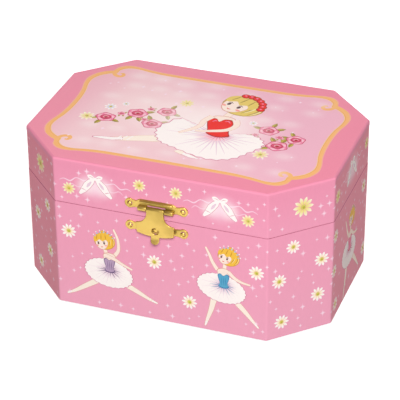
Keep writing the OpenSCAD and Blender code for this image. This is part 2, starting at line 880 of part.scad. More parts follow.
// The worm's thread: a trapezium swept along a right-handed helix that starts facing the wheel
module worm_thread() {
    rings = worm_turns * worm_steps;
    root = worm_core_r - 0.2;
    lean = tan(20);
    foot = worm_tooth_half + (worm_r - root) * lean;
    tip = worm_tooth_half - addendum * lean;
    section = [[root, -foot], [worm_tip_r, -tip], [worm_tip_r, tip], [root, foot]];
    points = [
        for (i = [0:rings], p = section)
            let(a = 270 + 360 * i / worm_steps)
            [p[0] * cos(a), p[0] * sin(a), p[1] + circular_pitch * (i / worm_steps - worm_turns / 2)]
    ];
    translate([worm_x, worm_y, governor_z]) polyhedron(points, tube_faces(rings, 4), convexity = 10);
}

module governor_fly() {
    color(brass) {
        rod_z(worm_x, worm_y, [shelf_low - 0.4, shelf_high + shelf_t + 0.4], worm_shaft_r);
        rod_z(worm_x, worm_y, [governor_z - 2.6, governor_z + 2.6], worm_core_r);
        worm_thread();
        rod_z(worm_x, worm_y, [finger_z, finger_z + finger_t], brake_r);
        block([worm_x - fly_r, worm_x + fly_r], [worm_y - 0.2, worm_y + 0.2], [finger_z - 2, finger_z - 0.2]);
        rod_z(worm_x, worm_y, [finger_z - 2.1, finger_z], 1);
    }
}

// ---------------------------------------------------------------- spindle and dancer

spindle_r = 1;

module spindle_bracket() {
    arm_z = [35.2, 36.6];
    foot_z = [27.6, 28.8];
    leg_y = [axis_y - 5.2, axis_y - 4];
    color(steel) difference() {
        union() {
            block([-5, 5], [leg_y[0], bedplate_y - glue_gap], arm_z);
            block([-3, 3], leg_y, [foot_z[0], arm_z[1]]);
            block([-3, 3], [leg_y[0], axis_y + 1.8], foot_z);
        }
        rod_z(0, axis_y, [foot_z[0] - 1, arm_z[1] + 1], spindle_r + running);
    }
}

module spindle() {
    color(steel) {
        rod_z(0, axis_y, [27, turntable_z + 0.6], spindle_r);
        rod_z(0, axis_y, [28.95, 29.6], 1.8);
        translate([0, axis_y, crown_mesh_z - 0.8]) spur(pinion_teeth, 1.6, 180 / pinion_teeth);
    }
}

module turntable() {
    color("#ffffff") difference() {
        rod_z(0, axis_y, [turntable_z, turntable_z + turntable_t], turntable_r);
        rod_z(0, axis_y, [turntable_z - 1, turntable_z + 0.62], spindle_r);
    }
}

module dancer_spring() {
    color(steel) translate([0, axis_y, 0]) wire_coil(2.2, 0.35, spring_z0 + 0.02, spring_z1, 5);
}

hip_z = spring_z1 + 13.5;
head_z = spring_z1 + 25.2;
head_r = 3;
hand_z = case_h - 9.2;

// The dancer's outline: a peg that plugs into the coil spring, her small base, then up to the top of her head
function dancer_outline() = let(z = spring_z1 + 0.85) [
    [0, spring_z1 - 2], [1.2, spring_z1 - 2], [1.2, z], [2.7, z], [2.7, z + 1.2], [0.8, z + 1.2],
    [1, z + 4.5], [1.4, z + 8.5], [2.1, hip_z - 0.6],
    [2.3, hip_z + 0.8], [1.6, hip_z + 2.6], [2.3, hip_z + 4.6], [1.9, hip_z + 6], [0.9, hip_z + 7],
    [0.9, head_z - head_r * cos(20)],
    for (k = [1:7]) let(a = 20 + 20 * k) [head_r * sin(a), head_z - head_r * cos(a)],
    [0, head_z + head_r],
];

// A straight round limb between two points
module limb(from, to, r) {
    d = to - from;
    translate(from) rotate([0, acos(d[2] / norm(d)), atan2(d[1], d[0])]) cylinder(h = norm(d), r = r, $fn = 24);
}

module dancer_figure() {
    color("#f4d3bd") translate([0, axis_y, 0]) {
        rotate_extrude() polygon(dancer_outline());
        translate([0, 1.5, head_z + 2.9]) sphere(r = 1.5, $fn = 24);
        for (s = [-1, 1]) {
            shoulder = [s * 2, 0, hip_z + 5.2];
            elbow = [s * 6.2, 0, head_z + 3.2];
            hand = [s * 1.6, 0, hand_z];
            limb(shoulder, elbow, 0.85);
            limb(elbow, hand, 0.7);
            translate(elbow) sphere(r = 1, $fn = 24);
            translate(hand) sphere(r = 0.9, $fn = 24);
        }
    }
}

module dancer_tutu() {
    color("#ffffff") translate([0, axis_y, hip_z]) difference() {
        cylinder(h = 1.6, r1 = 9, r2 = 7.5);
        translate([0, 0, -1]) cylinder(h = 4, r = 2.6);
    }
}

// ---------------------------------------------------------------- stop plunger

module stop_plunger() {
    color(steel) {
        rod_z(worm_x, plunger_y, [plunger_foot, plunger_top - 1], plunger_r);
        rod_z(worm_x, plunger_y, [finger_z, finger_z + finger_t], 1.5);
        block([worm_x - 0.6, worm_x + 0.6], [worm_y + brake_r + 0.15, plunger_y], [finger_z, finger_z + finger_t]);
    }
}

module plunger_cap() {
    color("#ffffff") difference() {
        rod_z(worm_x, plunger_y, [plunger_top - 4, plunger_top], 1.7);
        rod_z(worm_x, plunger_y, [plunger_top - 5, plunger_top - 1], plunger_r);
    }
}

module plunger_spring() {
    color("#c7cbd0") translate([worm_x, plunger_y, 0])
        wire_coil(1.25, 0.22, shelf_low + shelf_t + 0.02, finger_z - 0.02, 7, 6, 12);
}

// ---------------------------------------------------------------- nodes

bottom_felt();
base_floor();
base_walls();
rear_board();
base_wrap();
base_liner();
floor_liner();
divider_boards();
ring_tray();
ring_roll_pads();
movement_cover();
stage_board();
lid_walls();
lid_top_board();
lid_wrap();
lid_liner();
lid_top_liner();
mirror();
plunger_presser();
hinge_base_leaves();
hinge_lid_leaves();
hinge_pins();
hinge_nails(seam_z - leaf_nail_z);  // hinge_base_nails
hinge_nails(seam_z + leaf_nail_z);  // hinge_lid_nails
hasp_plate();
hasp_pin();
hasp();
hasp_nails(ear_z);  // hasp_plate_nails
catch_plate();
hasp_nails(catch_z);  // catch_plate_nails
winding_key();
winding_arbor();
arbor_clip();
key_escutcheon();
movement_bedplate();
movement_screws();
spring_housing();
mainspring();
crown_gear();
pinned_cylinder();
cylinder_shaft();
comb();
comb_screws();
governor_bracket();
governor_wheel();
governor_fly();
spindle_bracket();
spindle();
turntable();
dancer_spring();
dancer_figure();
dancer_tutu();
stop_plunger();
plunger_cap();
plunger_spring();
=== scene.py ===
import json
import math
import random

import bmesh
import bpy
from mathutils import Matrix, Vector
from mathutils.geometry import delaunay_2d_cdt


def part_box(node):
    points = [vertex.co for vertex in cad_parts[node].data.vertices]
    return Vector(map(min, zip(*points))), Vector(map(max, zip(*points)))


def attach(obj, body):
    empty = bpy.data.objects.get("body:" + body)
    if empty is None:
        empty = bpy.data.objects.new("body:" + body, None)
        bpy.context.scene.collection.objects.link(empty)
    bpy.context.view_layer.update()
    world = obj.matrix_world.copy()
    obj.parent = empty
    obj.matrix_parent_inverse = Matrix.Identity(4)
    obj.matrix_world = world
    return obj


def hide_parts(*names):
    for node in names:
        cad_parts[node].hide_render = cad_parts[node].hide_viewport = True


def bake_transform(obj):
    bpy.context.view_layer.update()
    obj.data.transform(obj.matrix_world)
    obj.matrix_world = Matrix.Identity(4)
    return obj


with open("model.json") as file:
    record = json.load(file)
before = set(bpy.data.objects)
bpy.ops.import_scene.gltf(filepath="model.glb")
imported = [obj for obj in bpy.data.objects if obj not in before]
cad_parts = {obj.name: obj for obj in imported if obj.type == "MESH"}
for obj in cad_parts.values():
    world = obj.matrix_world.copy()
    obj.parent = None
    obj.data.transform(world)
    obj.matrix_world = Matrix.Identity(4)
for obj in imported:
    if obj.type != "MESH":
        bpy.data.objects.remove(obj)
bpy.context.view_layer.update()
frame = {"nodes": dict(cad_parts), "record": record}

MM = 0.001
SCENE = bpy.context.scene


# ---- small helpers


def linear(code):
    """A #rrggbb colour as linear red, green and blue."""
    out = []
    for k in (1, 3, 5):
        c = int(code[k : k + 2], 16) / 255
        out.append(c / 12.92 if c <= 0.04045 else ((c + 0.055) / 1.055) ** 2.4)
    return tuple(out)


def mix(a, b, t):
    return tuple(x + (y - x) * t for x, y in zip(a, b))


def smoothstep(low, high, x):
    t = min(1, max(0, (x - low) / (high - low)))
    return t * t * (3 - 2 * t)


def part_way(values, f):
    """The value a fraction f of the way along a list."""
    t = f * (len(values) - 1)
    k = min(int(t), len(values) - 2)
    return values[k] + (values[k + 1] - values[k]) * (t - k)


def cos_sin(degrees):
    return math.cos(math.radians(degrees)), math.sin(math.radians(degrees))


def round_turn(n):
    """The angles of n points spread evenly round a turn."""
    return [2 * math.pi * k / n for k in range(n)]


def band(a, b, n):
    """The faces between two rings of n points, the first of which are a and b."""
    return [(a + k, a + (k + 1) % n, b + (k + 1) % n, b + k) for k in range(n)]


def link(name, data):
    obj = bpy.data.objects.new(name, data)
    SCENE.collection.objects.link(obj)
    return obj


def rounded(mesh):
    mesh.polygons.foreach_set("use_smooth", [True] * len(mesh.polygons))


def apply_modifiers(obj):
    """Puts what an object's modifiers make in place of its mesh."""
    graph = bpy.context.evaluated_depsgraph_get()
    mesh = bpy.data.meshes.new_from_object(obj.evaluated_get(graph))
    obj.modifiers.clear()
    obj.data = mesh
    return mesh


# ---- camera and light


def look_from(azimuth, elevation, distance, focal, aim, roll, shift):
    """A camera turned about the aim point, as for the photograph of the closed box."""
    a, e = math.radians(azimuth), math.radians(elevation)
    back = Vector((math.sin(a) * math.cos(e), -math.cos(a) * math.cos(e), math.sin(e)))
    data = bpy.data.cameras.new("camera")
    data.lens = focal
    data.sensor_width = 36
    data.shift_x, data.shift_y = shift
    data.clip_start, data.clip_end = 0.05, 20
    cam = link("camera", data)
    turn = back.to_track_quat("Z", "Y").to_matrix().to_4x4()
    spin = Matrix.Rotation(math.radians(roll), 4, "Z")
    cam.matrix_world = Matrix.Translation(aim + back * distance) @ turn @ spin
    SCENE.camera = cam


def area_light(name, place, aim, size, power, colour=(1, 1, 1)):
    data = bpy.data.lights.new(name, "AREA")
    data.shape = "RECTANGLE"
    data.size, data.size_y = size
    data.energy = power
    data.color = colour
    lamp = link(name, data)
    turn = (Vector(place) - Vector(aim)).to_track_quat("Z", "Y").to_matrix().to_4x4()
    lamp.matrix_world = Matrix.Translation(place) @ turn


case_low, case_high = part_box("base_wrap")
lid_low, lid_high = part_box("lid_wrap")
middle = Vector((0, 0, lid_high.z / 2))
look_from(19.92, 30.63, 1.085, 170.7, middle, -0.41, (0.0031, -0.0135))

world = bpy.data.worlds.new("studio")
SCENE.world = world
world.use_nodes = True
background = world.node_tree.nodes["Background"].inputs
background["Color"].default_value = (1, 0.68, 0.62, 1)
background["Strength"].default_value = 0.21
SCENE.view_settings.view_transform = "Standard"

area_light("key_light", (0.4, -1.05, 0.92), middle, (0.5, 0.5), 21.8, (1, 0.985, 0.97))
area_light("top_light", (-0.1, 0.25, 1.3), middle, (0.6, 0.6), 1.0)
area_light("back_light", (-0.35, 1.3, 0.2), middle, (0.9, 0.36), 10)


# ---- materials


class Shader:
    """A material's nodes, with short names for the ones used here."""

    def __init__(self, name):
        self.material = bpy.data.materials.new(name)
        self.material.use_nodes = True
        self.nodes = self.material.node_tree.nodes
        self.links = self.material.node_tree.links
        self.surface = self.nodes["Principled BSDF"]

    def node(self, kind, **settings):
        made = self.nodes.new("ShaderNode" + kind)
        for key, value in settings.items():
            setattr(made, key, value)
        return made

    def join(self, out, into):
        self.links.new(out, into)

    def set(self, **values):
        for key, value in values.items():
            self.surface.inputs[key.replace("_", " ")].default_value = value

    def place(self, scale=(1, 1, 1)):
        """The point on the object, in metres, stretched by scale."""
        coords = self.node("TexCoord")
        mapping = self.node("Mapping")
        mapping.inputs["Scale"].default_value = scale
        self.join(coords.outputs["Object"], mapping.inputs["Vector"])
        return mapping.outputs["Vector"]

    def noise(self, scale, detail=3, rough=0.5, stretch=(1, 1, 1)):
        made = self.node("TexNoise")
        made.inputs["Scale"].default_value = scale
        made.inputs["Detail"].default_value = detail
        made.inputs["Roughness"].default_value = rough
        self.join(self.place(stretch), made.inputs["Vector"])
        return made.outputs["Fac"]

    def ramp(self, value, stops):
        made = self.node("ValToRGB")
        ramp = made.color_ramp
        while len(ramp.elements) < len(stops):
            ramp.elements.new(0.5)
        for element, (at, colour) in zip(ramp.elements, stops):
            element.position = at
            element.color = (*colour, 1)
        self.join(value, made.inputs["Fac"])
        return made.outputs["Color"]

    def span(self, value, low, high):
        made = self.node("MapRange")
        made.inputs["To Min"].default_value = low
        made.inputs["To Max"].default_value = high
        self.join(value, made.inputs["Value"])
        return made.outputs["Result"]

    def blend(self, kind, a, b, factor):
        made = self.node("Mix", data_type="RGBA", blend_type=kind)
        if isinstance(factor, float):
            made.inputs[0].default_value = factor
        else:
            self.join(factor, made.inputs[0])
        for socket, value in ((made.inputs[6], a), (made.inputs[7], b)):
            if isinstance(value, tuple):
                socket.default_value = (*value, 1)
            else:
                self.join(value, socket)
        return made.outputs[2]

    def colour(self, out):
        self.join(out, self.surface.inputs["Base Color"])

    def roughness(self, out):
        self.join(out, self.surface.inputs["Roughness"])

    def bump(self, height, distance, strength=1.0):
        made = self.node("Bump")
        made.inputs["Strength"].default_value = strength
        made.inputs["Distance"].default_value = distance
        self.join(height, made.inputs["Height"])
        self.join(made.outputs["Normal"], self.surface.inputs["Normal"])


def paper(name, ink=None, tone=None, gloss=0.55):
    """Paper with a faint fibre: printed from the mesh's own ink colours, or one plain tone."""
    s = Shader(name)
    fibre = s.noise(900, 4, 0.65, (1, 1, 0.35))
    cloud = s.noise(35, 2)
    if ink:
        base = s.node("Attribute", attribute_name=ink).outputs["Color"]
    else:
        base = s.ramp(cloud, [(0.3, mix(tone, (0, 0, 0), 0.04)), (0.7, mix(tone, (1, 1, 1), 0.04))])
    shade = s.ramp(fibre, [(0.25, (0.93, 0.93, 0.93)), (0.75, (1, 1, 1))])
    s.colour(s.blend("MULTIPLY", base, shade, 0.5))
    s.roughness(s.span(cloud, gloss - 0.06, gloss + 0.08))
    s.bump(fibre, 0.00003, 0.35)
    s.set(Specular_IOR_Level=0.22)
    return s.material


def metal(name, tone, dark, rough, grain=(1, 1, 1), scale=400, bare=1.0):
    """Plated or brushed metal: grain that runs across the stretched axis, and dulled patches."""
    s = Shader(name)
    patch = s.noise(60, 3)
    lines = s.noise(scale, 5, 0.6, grain)
    s.colour(s.ramp(patch, [(0.3, dark), (0.6, tone)]))
    s.roughness(s.span(lines, rough - 0.07, rough + 0.12))
    s.bump(lines, 0.00004, 0.3)
    s.set(Metallic=bare)
    return s.material


def cloth(name, tone, deep, sheen, scale=1400, height=0.00012):
    """Pile or felt: short fibres, deeper colour between them and a soft sheen."""
    s = Shader(name)
    pile = s.noise(scale, 5, 0.7)
    nap = s.noise(70, 3)
    fibres = s.ramp(pile, [(0.3, deep), (0.65, tone)])
    patches = s.ramp(nap, [(0.3, (0.88,) * 3), (0.7, (1,) * 3)])
    s.colour(s.blend("MULTIPLY", fibres, patches, 0.8))
    s.roughness(s.span(pile, 0.8, 0.98))
    s.bump(pile, height, 0.6)
    s.set(Sheen_Weight=sheen, Sheen_Roughness=0.4)
    return s.material


def plastic(name, tone, rough=0.35, mottle=0.05):
    s = Shader(name)
    cloud = s.noise(90, 3)
    s.colour(s.ramp(cloud, [(0.3, mix(tone, (0, 0, 0), mottle)), (0.7, tone)]))
    s.roughness(s.span(s.noise(500, 3), rough - 0.05, rough + 0.08))
    s.bump(s.noise(800, 3), 0.00002, 0.2)
    return s.material


M = {
    "printed": paper("printed_paper", ink="Ink"),
    "turned_in": paper("turned_in_paper", tone=linear("#f0a0bc"), gloss=0.45),
    "lining": paper("lining_paper", tone=linear("#f7cfdc"), gloss=0.55),
    "felt": cloth("felt", linear("#5b3644"), linear("#3b1f2a"), 0.2, 900),
    "flock": cloth("flock", linear("#ea8fb0"), linear("#c45f86"), 0.5, 1800),
    "velvet": cloth("velvet", linear("#f0a2be"), linear("#cf6f94"), 0.9, 2200, 0.00015),
    "gilt": metal("gilt", linear("#d0b560"), linear("#ab9248"), 0.34, (1, 1, 1), 260, 0.85),
    "brass": metal("turned_brass", linear("#d9b566"), linear("#b98d42"), 0.3, (1, 6, 6)),
    "steel": metal("steel", linear("#c3c6c9"), linear("#94989c"), 0.33, (8, 1, 1)),
    "spring": metal("spring_steel", linear("#8d949c"), linear("#626970"), 0.28, (1, 8, 8)),
    "mirror": metal("mirror_glass", linear("#eef3f4"), linear("#e2eaec"), 0.03, (1, 1, 1), 40),
    "white": plastic("white_plastic", linear("#f8f3f4"), 0.3),
    "skin": plastic("figure_plastic", linear("#f6d4c0"), 0.38),
    "figure_paint": paper("painted_figure", ink="Ink", gloss=0.35),
    "net": cloth("net", linear("#fffafc"), linear("#f3dde6"), 0.6, 1100, 0.0001),
}
LOOKS = {
    "board": "turned_in",
    "printed_paper": "turned_in",
    "lining_paper": "lining",
    "spring_steel": "spring",
    "white_plastic": "white",
    "figure": "skin",
}
for part in frame["record"]["subparts"]:
    mesh = frame["nodes"][part["node"]].data
    mesh.materials.clear()
    slot = part["material_slot"]
    mesh.materials.append(M[LOOKS.get(slot, slot)])


# ---- the floor

table = Shader("pale_floor")
table.colour(table.ramp(table.noise(9, 2), [(0.3, (0.86, 0.86, 0.86)), (0.7, (0.9, 0.9, 0.9))]))
table.set(Roughness=0.8, Emission_Color=(1, 1, 1, 1), Emission_Strength=0.55)
FLOOR_R, WALL_R, WALL_TOP, SIDES = 4, 3.95, 3, 96
bpy.ops.mesh.primitive_circle_add(vertices=SIDES, radius=FLOOR_R, fill_type="NGON", location=(0, 0, -0.0005))
floor = bpy.context.object
floor.name = "floor"
floor.data.materials.append(table.material)
floor.visible_diffuse = False
turns = round_turn(SIDES)
wall = [(WALL_R * math.cos(a), WALL_R * math.sin(a), z) for z in (0, WALL_TOP) for a in turns]
mesh = bpy.data.meshes.new("backdrop")
mesh.from_pydata(wall, [], band(0, SIDES, SIDES))
mesh.materials.append(table.material)
backdrop = link("backdrop", mesh)
for ray in ("diffuse", "glossy", "transmission", "shadow"):
    setattr(backdrop, "visible_" + ray, False)


# ---- the case's outline, unrolled


def octagon(x, y, cut):
    """The corners of a rectangle with cut corners, counter-clockwise from the front right."""
    corners = [(x - cut, -y), (x, cut - y), (x, y - cut), (x - cut, y)]
    return [Vector(c) for c in corners + [(-a, -b) for a, b in corners]]


class Outline:
    """The case's outline with rounded edges. Along it, u runs to the right from the middle of the front."""

    PANELS = ["front", "front_right", "right", "back_right", "back", "back_left", "left", "front_left"]

    def __init__(self, width, depth, cut, radius):
        corners = octagon(width / 2, depth / 2, cut)
        trim, bend = radius * math.tan(math.radians(22.5)), radius * math.pi / 4
        self.spans, self.centre, self.breaks = [], {}, []
        u = 0
        for k, name in enumerate(self.PANELS):
            start, end = corners[k - 1], corners[k]
            along = (end - start).normalized()
            half = (end - start).length / 2 - trim
            first, last = (start + along * trim, u + 2 * half) if k else ((start + end) / 2, half)
            self.spans.append((u, last, first, along, None))
            self.centre[name] = u + half if k else 0
            u = last
            hub = end - along * trim + Vector((-along.y, along.x)) * radius
            self.spans.append((u, u + bend, hub, along, radius))
            self.breaks += [u + bend * i / 5 for i in range(6)]
            u += bend
        start, along = corners[-1], Vector((1, 0))
        half = (corners[0] - start).length / 2 - trim
        self.spans.append((u, u + half, start + along * trim, along, None))
        self.length = u + half
        for name, c in self.centre.items():
            if c > self.length / 2:
                self.centre[name] = c - self.length
        self.breaks = sorted(b if b <= self.length / 2 else b - self.length for b in self.breaks)

    def middles(self, panel):
        """Where a panel's middle lies on the strip: the back's lies at both its ends."""
        mid = self.centre[panel]
        return [mid, mid - self.length] if panel == "back" else [mid]

    def at_panel(self, k, across):
        """The place on a panel, from -1 at its left edge to 1 at its right."""
        low, high = self.spans[2 * k][:2]
        if k == 0:
            low = -high
        return (low + high) / 2 + across * (high - low) / 2

    def at(self, u, inset=0):
        """The point and the outward normal at u, moved inwards by inset."""
        u %= self.length
        for low, high, base, along, radius in self.spans:
            if u <= high + 1e-6:
                break
        normal = Vector((along.y, -along.x))
        if radius is None:
            point = base + along * (u - low)
        else:
            normal = Matrix.Rotation((u - low) / radius, 2) @ normal
            point = base + normal * radius
        return point - normal * inset, normal


CUT = 28.5


def cut_inside(inset):
    """The size of the cut corners of an outline that lies inside the case's by inset."""
    return CUT - inset * (2 - math.sqrt(2))


outline = Outline((case_high.x - case_low.x) / MM, (case_high.y - case_low.y) / MM, CUT, 2)


# ---- printing: shapes painted in millimetres


class Art:
    """Shapes painted one over the other.

    An ink is the name of one, a colour with or without its cover, or a function of the place that gives one.
    """

    def __init__(self):
        self.shapes = []

    def add(self, points, ink):
        area = sum(a[0] * b[1] - b[0] * a[1] for a, b in zip(points, points[1:] + points[:1]))
        ink = INKS[ink] if isinstance(ink, str) else ink
        self.shapes.append((points if area > 0 else points[::-1], ink))

    def pen(self, x, y, scale=1):
        return Pen(self, x, y, scale)


class Pen:
    """Draws on an Art from its own origin and at its own size."""

    def __init__(self, art, x, y, scale):
        self.art, self.origin, self.scale = art, (x, y), scale

    def place(self, p):
        return (self.origin[0] + self.scale * p[0], self.origin[1] + self.scale * p[1])

    def fill(self, points, ink):
        self.art.add([self.place(p) for p in points], ink)

    def ellipse(self, x, y, rx, ry, ink, angle=0, sides=18):
        c, s = cos_sin(angle)
        ring = [(rx * math.cos(t), ry * math.sin(t)) for t in round_turn(sides)]
        self.fill([(x + c * p - s * q, y + s * p + c * q) for p, q in ring], ink)

    def blob(self, points, ink, steps=5):
        self.fill(smooth(points, True, steps), ink)

    def stroke(self, points, widths, ink, steps=5):
        path = smooth(points, False, steps)
        self.fill(ribbon(path, widths), ink)

    def glow(self, x, y, r, tone, strength, flat=1.0, rings=(1, 0.72, 0.45, 0.2)):
        """A soft light, strongest in the middle."""
        cx, cy = self.place((x, y))
        reach = r * self.scale

        def ink(px, py):
            d = math.hypot(px - cx, (py - cy) / flat) / reach
            return (*tone, strength * (1 - smoothstep(0, 1, d)))

        for ring in rings:
            self.ellipse(x, y, r * ring, r * ring * flat, ink if ring == 1 else None, sides=20)


def smooth(points, closed, steps):
    """A Catmull-Rom curve through the points."""
    n = len(points)
    out = []
    for i in range(n if closed else n - 1):
        four = ((i + k) % n if closed else min(n - 1, max(0, i + k)) for k in (-1, 0, 1, 2))
        spans = list(zip(*(points[k] for k in four)))
        for k in range(steps):
            t = k / steps
            spot = []
            for p, q, r, s in spans:
                curve = (2 * p - 5 * q + 4 * r - s) * t * t + (3 * q - p - 3 * r + s) * t ** 3
                spot.append(0.5 * (2 * q + (r - p) * t + curve))
            out.append(tuple(spot))
    return out if closed else out + [tuple(points[-1])]


def ribbon(path, widths):
    """The outline of a band along a path, whose width runs through the widths given."""
    n = len(path)
    left, right = [], []
    for i, p in enumerate(path):
        a, b = path[max(0, i - 1)], path[min(n - 1, i + 1)]
        dx, dy = b[0] - a[0], b[1] - a[1]
        size = math.hypot(dx, dy) or 1
        half = part_way(widths, i / (n - 1)) / 2
        left.append((p[0] - dy / size * half, p[1] + dx / size * half))
        right.append((p[0] + dy / size * half, p[1] - dx / size * half))
    return left + right[::-1]


def over(base, ink, x, y):
    if ink is None:
        return base
    if callable(ink):
        ink = ink(x, y)
    return mix(base, ink[:3], ink[3]) if len(ink) == 4 else ink


def cut_sheet(art, border, base, lines=(), spacing=4.0):
    """Cuts the painted shapes into one flat mesh that fills the border.

    Gives its points, its triangles and the inks of their corners.
    """
    xs, ys = [p[0] for p in border], [p[1] for p in border]
    points, edges, faces = [], [], []
    for shape in [border] + [s[0] for s in art.shapes]:
        start = len(points)
        points += [Vector(p) for p in shape]
        faces.append(list(range(start, start + len(shape))))
    for path in lines:
        start = len(points)
        points += [Vector(p) for p in path]
        edges += [(start + k, start + k + 1) for k in range(len(path) - 1)]
    x = min(xs) + spacing / 2
    while x < max(xs):
        y = min(ys) + spacing / 2
        while y < max(ys):
            points.append(Vector((x, y)))
            y += spacing
        x += spacing
    verts, _, tris, _, _, owners = delaunay_2d_cdt(points, edges, faces, 1, 1e-5, True)
    out_faces, inks = [], []
    for tri, owner in zip(tris, owners):
        if 0 not in owner:
            continue
        layers = sorted(k for k in owner if k > 0)
        corner = []
        for v in tri:
            px, py = verts[v]
            c = base(px, py)
            for k in layers:
                c = over(c, art.shapes[k - 1][1], px, py)
            corner.append(c)
        out_faces.append(tri)
        inks.append(corner)
    return verts, out_faces, inks


def ordered_border(faces):
    """The outer edge of a flat mesh, as one loop of points in order."""
    edges = set()
    for face in faces:
        edges.update(zip(face, face[1:] + face[:1]))
    after = {a: b for a, b in edges if (b, a) not in edges}
    loop = [next(iter(after))]
    while after[loop[-1]] != loop[0]:
        loop.append(after[loop[-1]])
    return loop


def print_piece(name, points, polys, inks, rest, normals, curved):
    """A piece of printed paper.

    The first faces take the inks given, and the others rest(height). The first curved faces take the
    points' own normals.
    """
    mesh = bpy.data.meshes.new(name)
    mesh.from_pydata([p * MM for p in points], [], polys)
    values = [(*c, 1) for corner in inks for c in corner]
    split = []
    for poly in mesh.polygons:
        if poly.index >= len(inks):
            values += [(*rest(mesh.vertices[k].co.z / MM), 1) for k in poly.vertices]
        split += [tuple(normals[k] if poly.index < curved else poly.normal) for k in poly.vertices]
    ink = mesh.color_attributes.new("Ink", "FLOAT_COLOR", "CORNER")
    ink.data.foreach_set("color", [x for v in values for x in v])
    rounded(mesh)
    mesh.normals_split_custom_set(split)
    obj = link(name, mesh)
    mesh.materials.append(M["printed"])
    return obj


SEAM_TONE = (0.5, 0.1, 0.19)  # the cut edge and the back of the paper


def wrap_round(name, art, z0, z1, inset, thick, base):
    """A printed strip wrapped once round the case: the painted front, its plain back and the edge between.

    Its join is at the middle of the back.
    """
    half = outline.length / 2
    lines = [[(u, z0), (u, z1)] for u in outline.breaks]
    flat, faces, inks = cut_sheet(art, [(-half, z0), (half, z0), (half, z1), (-half, z1)], base, lines)
    points, normals = [], []
    for u, z in flat:
        p, n = outline.at(u, inset)
        points.append(Vector((p.x, p.y, z)))
        normals.append(Vector((n.x, n.y, 0)))
    count = len(points)
    loop = ordered_border(faces)
    where = [Vector(flat[k]) for k in loop]
    for u, z in where:
        p = outline.at(u, inset + thick)[0]
        points.append(Vector((p.x, p.y, z)))
    ends = [[k for k, p in enumerate(where) if abs(p.x - u) < 1e-4] for u in outline.breaks]
    folds = [tuple(pair) for pair in ends if len(pair) == 2]
    _, _, back, origin, _, _ = delaunay_2d_cdt(where, folds, [list(range(len(loop)))], 1, 1e-6, True)
    polys = [tuple(f) for f in faces] + [tuple(count + origin[k][0] for k in reversed(f)) for f in back]
    for k, a in enumerate(loop):
        j = (k + 1) % len(loop)
        if any(abs(abs(where[e].x) - half) >= 1e-4 for e in (k, j)):
            polys.append((a, count + k, count + j, loop[j]))
    return print_piece(name, points, polys, inks, lambda z: SEAM_TONE, normals, len(faces))


# ---- the printed pictures

INK_CODES = """
    white fffdfc, cream fff3b8, heart d8d36a, heart_deep b9b24c, butter efe57e, stocking fdf5e8,
    glint ffecfb, skin fdeee2, skin_line d99a86, hair f3c64a, hair_deep c98f2c, hair_pale fbe39a,
    blonde e6cf68, blonde_deep b3983e, blonde_pale f6eeb6, dark 5a3a3a, lip e0605c, blush f7a89c,
    line d58aa6, shade e9d3e4, lilac b7a0c0, lilac_deep 5f4a78, blue 58abd0, blue_deep 2f7fb4,
    sky a8cdea, red ee1404, red_deep a81408, rose ee86ac, rose_deep bd2850, rose_core da5478,
    rose_pale f9c6d6, leaf c4b648, leaf_deep 9c8c30, gold f5bc74, gold_deep eba552
"""
INKS = {name: linear("#" + code) for name, code in (pair.split() for pair in INK_CODES.split(","))}


def daisy(pen, r, tint="cream", petals=10, turn=0, spread=0.65):
    """A daisy: pointed petals round a yellow-green heart."""
    ox, oy = pen.place((0, 0))
    reach = r * pen.scale

    def petal_ink(x, y):
        return mix(INKS[tint], INKS["white"], smoothstep(0.25, spread, math.hypot(x - ox, y - oy) / reach))

    side = [(0.42, 0.13), (0.72, 0.17), (0.92, 0.08)]
    shape = [(0.18, 0), *side, (1, 0), *((x, -y) for x, y in side[::-1])]
    for k in range(petals):
        c, s = cos_sin(turn + 360 * k / petals)
        pen.fill([(r * (c * x - s * y), r * (s * x + c * y)) for x, y in shape], petal_ink)
    pen.ellipse(0, 0, 0.26 * r, 0.26 * r, "heart", sides=12)
    pen.ellipse(0.04 * r, -0.05 * r, 0.14 * r, 0.14 * r, "heart_deep", sides=8)


def sparkle(pen, r):
    """A four-pointed star with a faint light round it, a little taller than wide."""
    pen.ellipse(0, 0, 0.5 * r, 0.5 * r, (*INKS["glint"], 0.3), sides=10)
    points = []
    for k in range(8):
        a = math.pi * k / 4
        reach = 0.17 * r if k % 2 else 1.1 * r
        points.append((0.82 * reach * math.sin(a), reach * math.cos(a)))
    pen.fill(points, (*INKS["glint"], 0.78))


def rose(pen, r, turn=0):
    """A full rose: leaves behind, lobed outer petals, and curled ones inside."""
    for a in (turn + 200, turn + 250, turn - 20):
        leaf(pen, r, a)
    ring = []
    for k in range(10):
        a = math.radians(turn + 36 * k)
        reach = r * (1.0 if k % 2 else 0.86)
        ring.append((reach * math.cos(a), 0.86 * reach * math.sin(a)))
    pen.blob(ring, "rose_deep", 3)
    pen.blob([(0.93 * x, 0.93 * y) for x, y in ring], "rose", 3)
    for k in range(5):
        a = math.radians(turn + 72 * k + 20)
        arc = [(0.68 * r * math.cos(a + t), 0.58 * r * math.sin(a + t)) for t in (-0.55, 0, 0.55)]
        pen.stroke(arc, [0.02 * r, 0.26 * r, 0.02 * r], "rose_pale", 3)
    pen.ellipse(0, 0.02 * r, 0.52 * r, 0.44 * r, "rose_deep", sides=14)
    pen.ellipse(0, 0.05 * r, 0.43 * r, 0.34 * r, "rose_core", sides=14)
    turns = (0.3, 1.2, 2.2, 3.2, 4.2, 5.2)
    curl = [(0.3 * r * math.cos(t) * (1 - t / 9), 0.24 * r * math.sin(t) * (1 - t / 9)) for t in turns]
    pen.stroke(curl, [0.03 * r, 0.1 * r, 0.08 * r, 0.03 * r], "rose_pale", 2)
    pen.ellipse(0, 0, 0.17 * r, 0.14 * r, "red_deep", sides=8)


